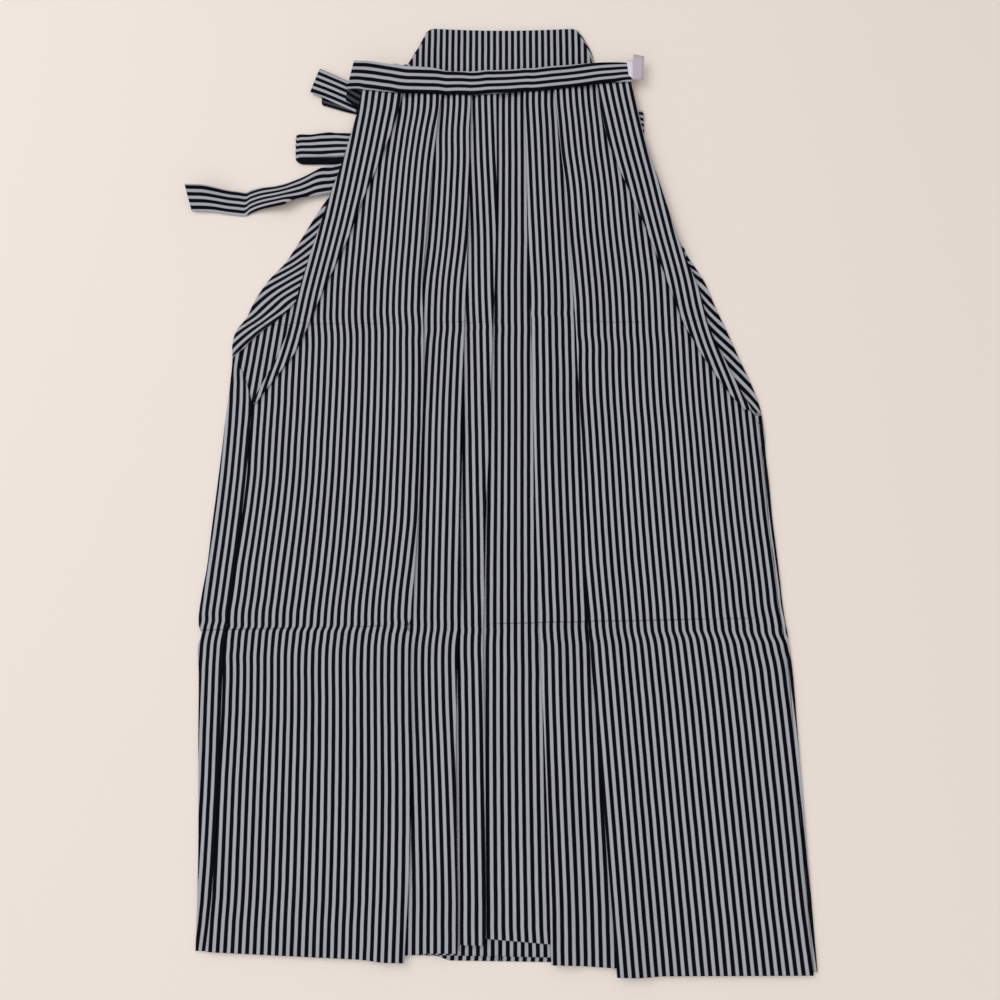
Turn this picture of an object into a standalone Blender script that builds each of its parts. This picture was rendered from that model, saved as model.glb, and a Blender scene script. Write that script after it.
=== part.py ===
"""Hakama trousers, laid out flat with the front up.

Every piece of cloth is a closed wall of one thickness.  A leg panel is drawn as a path across the garment, at each
of a few heights above the hem, and the path turns back on itself at every pleat.  The panels lie in numbered layers:
the back is layer 0 on the floor, an unpleated front is layer 1, and a pleat stacks the front up to layer 3.

Sizes are in millimetres.  x runs to the right from the middle of the garment and "up" runs from the hem to the
waist.  The model's own origin is the middle of its footprint on the floor, in metres, with +Y towards the waist.
"""

from collections import namedtuple

import bpy
import numpy as np

MM = 0.001

# Cloth, seams and pleats.
CLOTH = 1.2
SEAM_GAP = 0.3
LAYER = CLOTH + SEAM_GAP
FOLD_OUTER = CLOTH + SEAM_GAP / 2
FOLD_INNER = SEAM_GAP / 2
FOLD_TURNS = (90, 30, -30, -90)
PLEAT_UNDERLAP = 16.0
PLEAT_RAMP = 7.0
MIDDLE_PLEAT = 3
RAMP_CLEARANCE = 1.0
SMALLEST_TURN = 3.0

# The footprint, from the loose tie's tip to the hem's corner and from the hem to the top of the back board.
TIE_TIP_X = -338.0
HEM_CORNER_X = 266.0
HEM_LOWEST = 2.0
BOARD_TOP = 962.5
MIDDLE_X = (TIE_TIP_X + HEM_CORNER_X) / 2
MIDDLE_UP = (HEM_LOWEST + BOARD_TOP) / 2

# What lifts the front: the ties folded away at the waist, the storage crease and the back's turned hem.
WAIST_LIFT = 3.3
WAIST_LIFT_FROM = 620.0
WAIST_LIFT_FULL = 700.0
CREASE_UP = 298.0
CREASE_HALF_WIDTH = 11.0
CREASE_LIFT = 1.2
HEM_LIFT_FROM = 60.0
HEM_TURNING_TOP = 40.0
HEM_TURNING = (37.0, 18.5)
HEM_STEP = 1.0

LEFT_VENT_ROW = 532.0
RIGHT_VENT_ROW = 508.0
ROWS = (860, 825, 790, 760, 730, 700, 670, 640, 610, 580, 553, LEFT_VENT_ROW, RIGHT_VENT_ROW, 490, 450, 400, 350,
        320, CREASE_UP + CREASE_HALF_WIDTH, CREASE_UP, CREASE_UP - CREASE_HALF_WIDTH, 240, 180, 120,
        HEM_LIFT_FROM, HEM_TURNING_TOP)

# Where the main lines of the garment stand at each height.  An edge is the outline of the back, a turn is the width
# of cloth that the back turns over onto itself there, a front is the front panel's own outer edge, a fold is the
# inner edge of its slanted side pleat, and pleat_1 to pleat_5 are the folds of the front pleats from left to right.
Section = namedtuple("Section", "up left_edge left_turn left_front left_fold pleat_1 pleat_2 pleat_3 pleat_4 pleat_5"
                                " right_fold right_front right_turn right_edge")
SECTIONS = (
    Section(885, -136, 60, -149, -104.5, -62, -31.5, -4, 26, 58, 104, 137, 60, 126),
    Section(860, -142, 60, -155, -110, -65, -31.5, -4, 26.5, 60, 106, 142, 60, 132),
    Section(795, -160, 60, -170.5, -130, -71.5, -32.5, -3.5, 28.5, 65, 117, 155.5, 60, 146),
    Section(760, -185, 60, -181, -143.5, -74, -32.5, -3.5, 29, 68, 129, 165, 60, 155),
    Section(700, -220, 60, -197, -163, -77.5, -33.5, -4.5, 30, 72, 151, 181, 60, 175),
    Section(640, -259.5, 45, -213, -189, -80.5, -35.5, -6, 30.5, 74.5, 175, 198, 60, 206),
    Section(610, -275.5, 29, -219, -200, -79, -36.5, -7, 31.5, 76, 188, 207, 60, 218),
    Section(580, -279, 7, -229, -213.5, -78, -37, -8, 32, 77, 202, 216.5, 60, 228.5),
    Section(553, -279, 17, -242, -233, -77.5, -37, -9, 32.5, 77.5, 216, 226.5, 60, 237.5),
    Section(526, -280, 27, -253, -250, -77.5, -37.5, -10, 33, 78.5, 231.5, 237.5, 60, 246.5),
    Section(490, -282.5, 40, -254, -252, -78, -37.5, -11, 33.5, 79, 247, 250, 3, 253.5),
    Section(400, -287.5, 40, -257.5, -256, -80, -38.5, -14, 35, 80.5, 249.5, 252.5, 3, 256),
    Section(320, -293, 40, -263, -262, -84, -38, -15.5, 36.5, 82, 253, 256, 3, 259.5),
    Section(298, -291.5, 40, -264.5, -263, -85, -39, -16, 37, 82.5, 255, 258, 3, 261.5),
    Section(200, -285.5, 40, -263.5, -262, -82, -40.5, -14, 40.5, 89, 258, 261, 3, 264.5),
    Section(100, -277.5, 40, -261, -260, -81, -38.5, -13, 43, 94.5, 258.5, 261.5, 3, 265),
    Section(40, -274, 40, -261.5, -260, -82.5, -37, -12.5, 44, 98, 259, 262, 3, 265.5),
    Section(2, -273, 40, -263, -262, -83.5, -37, -12.5, 44.5, 100, 259.5, 262.5, 3, HEM_CORNER_X),
)

# How far each fold and edge of the front panels stands above the lowest point of the hem, along the hem itself.
FRONT_HEMS = {"left_front": 14.5, "pleat_1": 9.5, "under_1": 13.5, "pleat_2": 18, "under_2": 25, "pleat_3": 25,
              "under_3": 27, "right_front": 6.5, "pleat_5": 2, "under_5": 8, "pleat_4": 10.5, "under_4": 25.5,
              "centre": 29.5}
BACK_HEM = ((-273, 15), (-51, 15), (-48, 11.5), (45, 12), (266, 9))
BACK_HEM_STEP = (-51, -48)

# The front band, from its left end: the lower edge's place, the band's width there and how far it tips up.
BandSection = namedtuple("BandSection", "x up width tip")
BAND = (
    BandSection(-167, 886, 27, 30), BandSection(-135, 884.5, 27, 17), BandSection(-107, 878, 27, 26),
    BandSection(-80, 874, 27, 11), BandSection(-52, 871, 27, 3), BandSection(-26, 868, 27, 2),
    BandSection(1, 867.5, 27, 1), BandSection(33, 868.5, 27, 1), BandSection(65, 870, 27, 0),
    BandSection(91, 871, 27, 0), BandSection(116, 873, 24, 0), BandSection(137, 874.5, 20, 0),
    BandSection(141.5, 875, 19, 0),
)
BAND_THICKNESS = 2.4
BAND_EASE = 0.6
BAND_END_SLANT = 9.0
FRONT_UNDER_BAND = 15.0

# The stiff back board, as seen from the front: its outline clockwise from the top left.
BOARD_OUTLINE = ((-77, BOARD_TOP), (83.5, 948.5), (91, 934), (98.5, 920), (100.5, 904), (106, 872), (-118, 891),
                 (-102.5, 919), (-91, 939), (-81, 959.5))
BOARD_LOWER_RIGHT, BOARD_LOWER_LEFT = BOARD_OUTLINE[5:7]
BOARD_THICKNESS = 4.4
BOARD_ROUNDING = 1.0

# The ties are flat bands of doubled cloth.  A section gives the place and height of a tie's upper and lower edge.
TIE_WIDTH = 27.0
TIE_THICKNESS = 2.0
TIE_STEPS = 2
TieSection = namedtuple("TieSection", "upper_x upper_up upper_z lower_x lower_up lower_z")
UNDER_RUN = (TieSection(-199, 905, 0, -195.5, 876, 0), TieSection(-146, 885, 0, -149, 858, 0))
UPPER_RUN = (TieSection(-201, 919, 2.3, -210.5, 892.5, 2.3), TieSection(-146, 892, 2.3, -149, 863, 2.3))
LOOSE_END = (
    TieSection(TIE_TIP_X, 776.5, 17, -335.5, 754, 1.5), TieSection(-319, 772.5, 16.5, -324, 751, 1.5),
    TieSection(-275.5, 772.5, 2, -274.5, 745.5, 0), TieSection(-232, 777.5, 0, -228, 753, 9),
    TieSection(-200, 786, 7, -206, 758.5, 5), TieSection(-178, 793, 2.4, -194, 762, 2.4),
    TieSection(-167, 797, 2.4, -188, 764, 2.4),
)
FoldedTie = namedtuple("FoldedTie", "name fold_x end_x up drop side")
FOLDED_TIES = (
    FoldedTie("back_tie_left_loop", -224, -158, 839.5, 8, -1),
    FoldedTie("back_tie_right_loop", 153, 143, 842, 2, 1),
)

# Small flat pieces under and beside the band, and the ties folded away between the front and the back: outline,
# bottom and top.
FlatPiece = namedtuple("FlatPiece", "name outline bottom top")
FLAT_PIECES = (
    FlatPiece("front_tie_turned_end", ((-168.5, 889), (-152, 889), (-155.2, 868.5), (-169, 877)), 4.6, 6.6),
    FlatPiece("back_tie_left_root", ((-143, 915), (-103.9, 918), (-117.5, 893.5), (-143, 895)), 1.5, 3.5),
    FlatPiece("back_tie_right_root", ((101.9, 899), (130, 896), (130, 874), (106.2, 875)), 1.5, 3.5),
    FlatPiece("folded_ties", ((-118, 855), (112, 850), (124, 842), (128, 760), (118, 748), (-122, 748), (-136, 758),
                              (-128, 845)), 1.5, 4.5),
)
FLAT_ROUNDING = 0.7

# The care label: a strip sewn to the band's right end, from its neck to its free edge.
LabelSection = namedtuple("LabelSection", "x low_up high_up z")
LABEL = (
    LabelSection(137, 889, 900, 12.0), LabelSection(142, 889, 900, 12.0), LabelSection(142.8, 877, 906.5, 11.9),
    LabelSection(148, 876.5, 905.3, 11.2), LabelSection(155, 875.5, 903.5, 9.5),
)
LABEL_THICKNESS = 1.0

STRIPED_NAVY = (0.105, 0.112, 0.135, 1.0)
STRIPED_NAVY_DARK = (0.06, 0.065, 0.085, 1.0)
LABEL_WHITE = (0.80, 0.78, 0.84, 1.0)


def smooth_curve(at, knots, values):
    """A smooth curve through the given values at the given knots, read at each place: cubic between two knots."""
    slopes = np.gradient(values, knots, axis=0)
    low = np.clip(np.searchsorted(knots, at) - 1, 0, len(knots) - 2)
    span = knots[low + 1] - knots[low]
    t = (np.clip(at, knots[0], knots[-1]) - knots[low]) / span
    if values.ndim > 1:
        t, span = t[:, None], span[:, None]
    return ((2 * t**3 - 3 * t**2 + 1) * values[low] + (t**3 - 2 * t**2 + t) * span * slopes[low]
            + (3 * t**2 - 2 * t**3) * values[low + 1] + (t**3 - t**2) * span * slopes[low + 1])


def line_at(name, heights):
    """The x of one of the garment's lines at the given heights, on a smooth curve through the table's sections."""
    knots = np.array([row.up for row in SECTIONS][::-1], float)
    values = np.array([getattr(row, name) for row in SECTIONS][::-1], float)
    return smooth_curve(heights, knots, values)


def along(points, x):
    """The height of a line, given as (x, up) points from left to right, at each x."""
    xs, ups = zip(*points)
    return np.interp(x, xs, ups)


def front_lift(heights):
    """How far the front stands above its layer's height at the given heights of the garment."""
    t = np.clip((heights - WAIST_LIFT_FROM) / (WAIST_LIFT_FULL - WAIST_LIFT_FROM), 0, 1)
    waist = WAIST_LIFT * (3 * t**2 - 2 * t**3)
    crease = CREASE_LIFT * np.clip(1 - np.abs(heights - CREASE_UP) / CREASE_HALF_WIDTH, 0, 1)
    hem = LAYER * np.clip((HEM_LIFT_FROM - heights) / (HEM_LIFT_FROM - HEM_TURNING_TOP), 0, 1)
    return waist + crease + hem


class ClothPath:
    """One wall of cloth drawn across the garment, station by station, with its two faces kept in step.

    The wall starts with its face up.  Each fold turns it over, so the face then looks down until the next fold.
    """

    def __init__(self, heights):
        self.heights = np.asarray(heights, float)
        self.face = []
        self.back = []
        self.hem = []
        self.face_up = True

    def add(self, face, back, hem):
        """Add one station: the (x, z) of the wall's two faces there, and its height at the hem."""
        ones = np.ones(len(self.heights))
        self.face.append((face[0] * ones, face[1] * ones))
        self.back.append((back[0] * ones, back[1] * ones))
        self.hem.append(float(hem))

    def flat(self, x, level, hem):
        """A station where the cloth lies flat in a layer."""
        low = level * LAYER
        high = low + CLOTH
        face, back = (high, low) if self.face_up else (low, high)
        self.add((x, face), (x, back), hem)

    def fold(self, x, level_from, level_to, side, hem):
        """A half turn from one layer to the next, whose outside reaches x.  side is +1 for a fold at the right."""
        going_down = level_to < level_from
        face_outside = self.face_up == going_down
        middle_x = x - side * FOLD_OUTER
        middle_z = LAYER * (level_from + level_to) / 2 + CLOTH / 2
        turns = FOLD_TURNS if going_down else FOLD_TURNS[::-1]
        for turn in np.radians(turns):
            reach, rise = side * np.cos(turn), np.sin(turn)
            outer = (middle_x + FOLD_OUTER * reach, middle_z + FOLD_OUTER * rise)
            inner = (middle_x + FOLD_INNER * reach, middle_z + FOLD_INNER * rise)
            face, back = (outer, inner) if face_outside else (inner, outer)
            self.add(face, back, hem)
        self.face_up = not self.face_up

    def walls(self, top, lift=np.zeros_like):
        """The two faces as grids of points.  The first row follows the line top, and the last one the hem."""
        grids = []
        for side in (self.face, self.back):
            x = np.stack([station[0] for station in side], axis=1)
            z = np.stack([station[1] for station in side], axis=1)
            up = np.repeat(self.heights[:, None], x.shape[1], axis=1)
            z = z + lift(self.heights)[:, None]
            up[0] = top(x[0])
            up[-1] = self.hem
            grids.append(np.stack([x, up, z], axis=2))
        return grids


def wall_faces(rows, columns):
    """The triangles of a closed wall: two grids of points, face first, joined along their four borders."""
    index = np.arange(rows * columns).reshape(rows, columns)
    other = index + rows * columns
    a, b, c, d = index[:-1, :-1], index[:-1, 1:], index[1:, 1:], index[1:, :-1]
    face = np.concatenate([np.stack([a, b, c], -1).reshape(-1, 3), np.stack([a, c, d], -1).reshape(-1, 3)])
    ring = np.concatenate([index[0, :], index[1:, -1], index[-1, -2::-1], index[-2:0:-1, 0]])
    rim = ring + rows * columns
    after, rim_after = np.roll(ring, -1), np.roll(rim, -1)
    sides = np.concatenate([np.stack([ring, rim, rim_after], -1), np.stack([ring, rim_after, after], -1)])
    back = face[:, ::-1] + other[0, 0]
    return np.concatenate([face, back, sides])


def signed_volume(points, triangles):
    """Six times the volume inside a closed mesh, below zero where its faces look inwards."""
    a, b, c = points[triangles[:, 0]], points[triangles[:, 1]], points[triangles[:, 2]]
    return float(np.einsum("ij,ij->", a, np.cross(b, c)))


def add_piece(name, points, triangles, material):
    """Make one named solid from points in millimetres, with its faces looking outwards."""
    points = np.asarray(points, float).reshape(-1, 3) - (MIDDLE_X, MIDDLE_UP, 0)
    if signed_volume(points, triangles) < 0:
        triangles = triangles[:, ::-1]
    mesh = bpy.data.meshes.new(name)
    mesh.from_pydata((points * MM).tolist(), [], triangles.tolist())
    mesh.materials.append(material)
    mesh.validate()
    piece = bpy.data.objects.new(name, mesh)
    bpy.context.scene.collection.objects.link(piece)
    return piece


def add_wall(name, face, back, material):
    """Make a closed wall from its two faces, each a grid of points."""
    rows, columns = face.shape[:2]
    points = np.concatenate([face.reshape(-1, 3), back.reshape(-1, 3)])
    return add_piece(name, points, wall_faces(rows, columns), material)


def add_slab(name, outline, bottom, top, rounding, material):
    """Make a flat piece from an outline that runs clockwise, with its upper and lower edges eased by a rounding."""
    edge = np.array(outline, float)
    middle = edge.mean(axis=0)
    reach = np.linalg.norm(edge - middle, axis=1, keepdims=True)
    inset = middle + (edge - middle) * (1 - rounding / reach)
    rings = ((inset, top), (edge, top - rounding), (edge, bottom + rounding), (inset, bottom))
    points = [np.column_stack([ring, np.full(len(edge), z)]) for ring, z in rings]
    centres = [np.array([[*middle, top]]), np.array([[*middle, bottom]])]
    count = len(edge)
    here = np.arange(count)
    after = (here + 1) % count
    triangles = []
    for ring in range(len(rings) - 1):
        upper, lower = ring * count, (ring + 1) * count
        triangles.append(np.stack([upper + here, lower + here, lower + after], -1))
        triangles.append(np.stack([upper + here, lower + after, upper + after], -1))
    top_middle = len(rings) * count
    last = (len(rings) - 1) * count
    triangles.append(np.stack([np.full(count, top_middle), here, after], -1))
    triangles.append(np.stack([np.full(count, top_middle + 1), last + after, last + here], -1))
    return add_piece(name, np.concatenate(points + centres), np.concatenate(triangles), material)


def cloth_material(name, colour, roughness):
    material = bpy.data.materials.new(name)
    material.use_nodes = True
    shader = material.node_tree.nodes["Principled BSDF"]
    shader.inputs["Base Color"].default_value = colour
    shader.inputs["Roughness"].default_value = roughness
    shader.inputs["Metallic"].default_value = 0.0
    material.diffuse_color = colour
    return material


def front_rows():
    return np.array([SECTIONS[0].up, *ROWS, HEM_LOWEST], float)


def back_rows():
    """The back's heights: a turned hem starts and ends with a short step between two rows."""
    top, bottom = HEM_TURNING
    return np.array([SECTIONS[0].up, *ROWS, top, bottom, bottom - HEM_STEP, HEM_LOWEST], float)


def front_top(x):
    """The front's upper edge, hidden under the band."""
    return along([(part.x, part.up) for part in BAND], x) + FRONT_UNDER_BAND


def back_top(x):
    """The back's upper edge, which meets the lower edge of the back board."""
    (right_x, right_up), (left_x, left_up) = BOARD_LOWER_RIGHT, BOARD_LOWER_LEFT
    slope = (right_up - left_up) / (right_x - left_x)
    return left_up + slope * (x - left_x) - SEAM_GAP


def back_edges(side, heights):
    """The back's outer fold and the free edge of the cloth that it turns over, which stays clear of the front."""
    name = "left" if side < 0 else "right"
    front = side * line_at(name + "_front", heights)
    edge = side * line_at(name + "_edge", heights)
    shows = edge > front
    edge = np.where(shows, np.maximum(edge, front + SMALLEST_TURN + SEAM_GAP), edge)
    free = np.maximum(edge - line_at(name + "_turn", heights), front + SEAM_GAP)
    free = np.minimum(free, edge - SMALLEST_TURN)
    return side * front, side * edge, side * free


def add_back_leg(name, side, material):
    """The back of one leg: turned over to the front at its outer fold, and flat on the floor to the middle seam."""
    heights = back_rows()
    front, edge, free = back_edges(side, heights)
    flat_from = side * np.minimum(side * front, side * edge) - side * PLEAT_RAMP
    hem_steps = BACK_HEM_STEP if side < 0 else ()
    path = ClothPath(heights)
    path.flat(free, 1, along(BACK_HEM, free[-1]))
    path.fold(edge, 1, 0, side, along(BACK_HEM, edge[-1]))
    path.flat(flat_from, 0, along(BACK_HEM, flat_from[-1]))
    turning_from = len(path.hem)
    for x in (flat_from - side * HEM_STEP, *hem_steps, side * SEAM_GAP / 2):
        x = x * np.ones(len(heights))
        path.flat(x, 0, along(BACK_HEM, x[-1]))
    back, inside = path.walls(top=back_top)
    crease = np.where(np.abs(heights - CREASE_UP) < CREASE_HALF_WIDTH, front_lift(heights), 0)
    back[:, 0, 2] += crease
    inside[:, 0, 2] += crease
    turning = (heights <= HEM_TURNING[0]) & (heights >= HEM_TURNING[1])
    inside[np.ix_(turning, range(turning_from, inside.shape[1]), [2])] += LAYER
    return add_wall(name, back, inside, material)


def add_front_leg(name, side, pleats, material):
    """The front of one leg, from its outer edge to the middle, folded under at each pleat.

    side is -1 for the left leg.  A leg whose last pleat closes over the middle ends under that pleat, and the other
    leg runs on below it.
    """
    heights = front_rows()
    outer = "left_front" if side < 0 else "right_front"
    path = ClothPath(heights)
    path.flat(line_at(outer, heights), 1, FRONT_HEMS[outer])
    for pleat in pleats:
        fold = line_at(f"pleat_{pleat}", heights)
        under = fold + side * PLEAT_UNDERLAP
        fold_hem, under_hem = FRONT_HEMS[f"pleat_{pleat}"], FRONT_HEMS[f"under_{pleat}"]
        climbed = under + side * RAMP_CLEARANCE
        path.flat(climbed + side * PLEAT_RAMP, 1, fold_hem)
        path.flat(climbed, 3, fold_hem)
        path.fold(fold, 3, 2, -side, fold_hem)
        if pleat == MIDDLE_PLEAT:
            path.flat(under, 2, under_hem)
        else:
            path.fold(under, 2, 1, side, under_hem)
    if MIDDLE_PLEAT not in pleats:
        path.flat(line_at(f"pleat_{MIDDLE_PLEAT}", heights) - PLEAT_UNDERLAP, 1, FRONT_HEMS["centre"])
    face, back = path.walls(front_top, front_lift)
    return add_wall(name, face, back, material)


def add_side_pleat(name, side, last_row, material):
    """The slanted pleat at one side of the front: doubled cloth that narrows to nothing at the vent's end."""
    heights = front_rows()
    heights = heights[heights >= last_row]
    outer, fold = ("left_front", "left_fold") if side < 0 else ("right_front", "right_fold")
    edge = line_at(outer, heights)
    path = ClothPath(heights)
    path.flat(edge, 3, last_row)
    path.fold(line_at(fold, heights), 3, 2, -side, last_row)
    path.flat(edge, 2, last_row)
    face, back = path.walls(front_top, front_lift)
    return add_wall(name, face, back, material)


def add_front_band(name, material):
    """The waistband: doubled cloth over the top of the front, tipped up at the left, with its edges eased."""
    x, up, width, tip = np.array(BAND, float).T[:, :, None]
    edge = np.array([1, 0, 0, 1])
    end = np.zeros_like(x)
    end[[0, -1]] = 1
    across = np.concatenate([0 * width, BAND_EASE + 0 * width, width - BAND_EASE, width], axis=1)
    slant = np.zeros_like(x)
    slant[0] = BAND_END_SLANT
    ease = BAND_EASE * np.maximum(edge, end)
    low = 4 * LAYER + WAIST_LIFT + across * np.sin(np.radians(tip))
    band_x = x + slant * across / width
    band_up = up + across * np.cos(np.radians(tip))
    face = np.stack([band_x, band_up, low + BAND_THICKNESS - ease], axis=2)
    back = np.stack([band_x, band_up, low + ease], axis=2)
    return add_wall(name, face, back, material)


def add_tie_run(name, sections, material):
    """A flat tie through its sections, from left to right, with a smooth curve between them."""
    table = np.array(sections, float)
    knots = np.arange(len(table), dtype=float)
    table = smooth_curve(np.linspace(0, knots[-1], TIE_STEPS * (len(table) - 1) + 1), knots, table)
    across = np.array([0, 0.5, 1])[None, :, None]
    back = table[:, None, :3] * (1 - across) + table[:, None, 3:] * across
    return add_wall(name, back + (0, 0, TIE_THICKNESS), back, material)


def add_folded_tie(tie, material):
    """A tie folded back under itself: an upper run, a round fold at its outer end and a lower run set down a little."""
    outer, inner = TIE_THICKNESS + SEAM_GAP / 2, SEAM_GAP / 2
    turns = np.radians((90, *FOLD_TURNS, -90))
    reach, rise = tie.side * np.cos(turns), np.sin(turns)
    middle_x = np.full(len(turns), tie.fold_x - tie.side * outer)
    middle_x[[0, -1]] = tie.end_x
    up = (tie.up - tie.drop * (1 - rise) / 2)[:, None] - np.array([0, TIE_WIDTH])
    faces = []
    for radius in (outer, inner):
        x = np.repeat((middle_x + radius * reach)[:, None], 2, axis=1)
        z = np.repeat((outer + radius * rise)[:, None], 2, axis=1)
        faces.append(np.stack([x, up, z], axis=2))
    return add_wall(tie.name, *faces, material)


def add_label(name, material):
    """The care label, sewn to the band's right end and bent down towards its free edge."""
    x, low, high, z = np.array(LABEL, float).T
    back = np.stack([np.stack([x, up, z], axis=1) for up in (low, high)], axis=1)
    return add_wall(name, back + (0, 0, LABEL_THICKNESS), back, material)


def main():
    for existing in list(bpy.data.objects):
        bpy.data.objects.remove(existing, do_unlink=True)

    cloth = cloth_material("striped_cloth", STRIPED_NAVY, 0.6)
    tie_cloth = cloth_material("tie_cloth", STRIPED_NAVY_DARK, 0.6)
    label = cloth_material("label_cloth", LABEL_WHITE, 0.7)

    add_back_leg("back_left_leg", -1, cloth)
    add_back_leg("back_right_leg", 1, cloth)
    add_front_leg("front_left_leg", -1, (1, 2, 3), cloth)
    add_front_leg("front_right_leg", 1, (5, 4), cloth)
    add_side_pleat("front_left_side_pleat", -1, LEFT_VENT_ROW, cloth)
    add_side_pleat("front_right_side_pleat", 1, RIGHT_VENT_ROW, cloth)
    add_slab("back_board", BOARD_OUTLINE, 0.0, BOARD_THICKNESS, BOARD_ROUNDING, cloth)

    add_front_band("front_band", tie_cloth)
    add_tie_run("front_tie_under_run", UNDER_RUN, tie_cloth)
    add_tie_run("front_tie_upper_run", UPPER_RUN, tie_cloth)
    add_tie_run("back_tie_loose_end", LOOSE_END, tie_cloth)
    for tie in FOLDED_TIES:
        add_folded_tie(tie, tie_cloth)
    for piece in FLAT_PIECES:
        add_slab(piece.name, piece.outline, piece.bottom, piece.top, FLAT_ROUNDING, tie_cloth)
    add_label("care_label", label)


main()
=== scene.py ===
# %% [markdown]
# # Hakama trousers, laid out flat
# Hakama are wide pleated trousers of striped cloth.  They lie here with the front up: the pleated front
# panels, the back panels that show beside them, a waistband with its ties, and a stiff board at the back of
# the waist.  The packed CAD model is loaded first, because every piece of cloth below is fitted to it.

# %% The frame
from collections import namedtuple

import bpy
import numpy as np
from mathutils import Matrix


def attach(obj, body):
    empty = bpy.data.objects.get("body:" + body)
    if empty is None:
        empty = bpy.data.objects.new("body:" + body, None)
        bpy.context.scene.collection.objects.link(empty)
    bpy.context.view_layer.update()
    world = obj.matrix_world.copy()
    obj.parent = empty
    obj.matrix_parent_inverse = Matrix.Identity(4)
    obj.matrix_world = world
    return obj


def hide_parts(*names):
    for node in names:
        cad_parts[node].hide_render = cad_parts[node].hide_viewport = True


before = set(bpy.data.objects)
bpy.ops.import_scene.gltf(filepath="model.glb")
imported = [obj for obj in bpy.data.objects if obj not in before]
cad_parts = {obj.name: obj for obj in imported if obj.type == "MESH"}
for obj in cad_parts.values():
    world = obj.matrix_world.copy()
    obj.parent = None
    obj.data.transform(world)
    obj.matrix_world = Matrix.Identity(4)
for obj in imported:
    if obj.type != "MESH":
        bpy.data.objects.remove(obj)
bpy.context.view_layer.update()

# %% [markdown]
# ## Two sets of coordinates
# A pattern cutter measures a garment from its own middle and its own hem.  The tables below do the same, in
# millimetres: x to the right of the middle, and "up" from the hem to the waist.  One function turns such
# points into the model's frame, in metres, so that no object ever has to be moved.

# %% From the garment's measures to the model's frame
MM = 0.001
GARMENT_MIDDLE = (-36.0, 482.25, 0.0)


def to_frame(points):
    """Each point in millimetres, less the garment's middle, in metres."""
    return (np.asarray(points, float) - GARMENT_MIDDLE) * MM


# %% [markdown]
# ## The camera
# The garment is seen from nearly straight above, a little from the side of the hem.  A camera could be
# turned by three angles, but its matrix can be written down at once from three directions: its right, its
# up and the way that it looks.  Blender's camera looks down its own -Z.

# %% The camera
CAMERA_PLACE = (0.1253, -0.28615, 0.897)
CAMERA_RIGHT = (0.9951, 0.0, -0.0991)
CAMERA_UP = (0.0241, 0.9700, 0.2419)
CAMERA_LENS = 34.56
CAMERA_SENSOR = 36.0
CAMERA_SHIFT = (-0.0005, 0.0005)
CAMERA_NEAREST = 0.01


def standing(axes, place):
    """The matrix whose columns are the three axes, each made one unit long, and the place."""
    axes = np.array(axes, float)
    matrix = np.eye(4)
    matrix[:3, :3] = (axes / np.linalg.norm(axes, axis=1, keepdims=True)).T
    matrix[:3, 3] = place
    return Matrix(matrix.tolist())


camera_data = bpy.data.cameras.new("camera")
camera_data.lens = CAMERA_LENS
camera_data.sensor_width = CAMERA_SENSOR
camera_data.clip_start = CAMERA_NEAREST
camera_data.shift_x, camera_data.shift_y = CAMERA_SHIFT
camera = bpy.data.objects.new("camera", camera_data)
bpy.context.scene.collection.objects.link(camera)
backward = np.cross(CAMERA_RIGHT, CAMERA_UP)
camera.matrix_world = standing((CAMERA_RIGHT, np.cross(backward, CAMERA_RIGHT), backward), CAMERA_PLACE)
bpy.context.scene.camera = camera
print("Camera stands", round(CAMERA_PLACE[2], 3), "m above the floor")

# %% [markdown]
# ## Shader maths as plain expressions
# A material is a graph of nodes, and a long chain of Math nodes is hard to read.  The small class below
# wraps one socket of the graph and lets Python's own operators add the Math nodes, so 1 - mask is one
# Subtract node.

# %% A socket that can be calculated with


class Socket:
    """One output of a material's node graph.  Operators add Math nodes, and node() adds any other kind."""

    def __init__(self, tree, output):
        self.tree = tree
        self.output = output

    def node(self, kind, settings, inputs, output=0):
        """Add a node: its settings are set first, then each socket gets its value or its link."""
        node = self.tree.nodes.new(kind)
        for name, value in settings.items():
            setattr(node, name, value)
        for place, value in inputs.items():
            if isinstance(value, Socket):
                self.tree.links.new(value.output, node.inputs[place])
            else:
                node.inputs[place].default_value = value
        return Socket(self.tree, node.outputs[output])

    def math(self, operation, *values):
        """One Math node, whose inputs are the values in their order."""
        return self.node("ShaderNodeMath", {"operation": operation}, dict(enumerate(values)))

    def __add__(self, other):
        return self.math("ADD", self, other)

    def __sub__(self, other):
        return self.math("SUBTRACT", self, other)

    def __rsub__(self, other):
        return self.math("SUBTRACT", other, self)

    def __mul__(self, other):
        return self.math("MULTIPLY", self, other)

    __radd__ = __add__
    __rmul__ = __mul__

    def smooth(self, low, high):
        """0 below low, 1 above high, and a smooth step between."""
        inputs = {"Value": self, "From Min": low, "From Max": high}
        return self.node("ShaderNodeMapRange", {"interpolation_type": "SMOOTHSTEP"}, inputs)

    def noise(self, scale, detail):
        """Soft random spots between 0 and 1, with self as the place."""
        inputs = {"Vector": self, "Scale": scale, "Detail": detail}
        return self.node("ShaderNodeTexNoise", {}, inputs)

    def mix(self, low, high):
        """Colour low where self is 0 and colour high where it is 1."""
        inputs = {"Factor": self, 6: low, 7: high}
        return self.node("ShaderNodeMix", {"data_type": "RGBA"}, inputs, 2)


def principled(name, **constants):
    """A new material, its shader with the constants on its sockets, and its node graph to start from."""
    material = bpy.data.materials.new(name)
    material.use_nodes = True
    shader = material.node_tree.nodes["Principled BSDF"]
    for socket, value in constants.items():
        shader.inputs[socket.replace("_", " ")].default_value = value
    return material, shader, Socket(material.node_tree, None)


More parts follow.
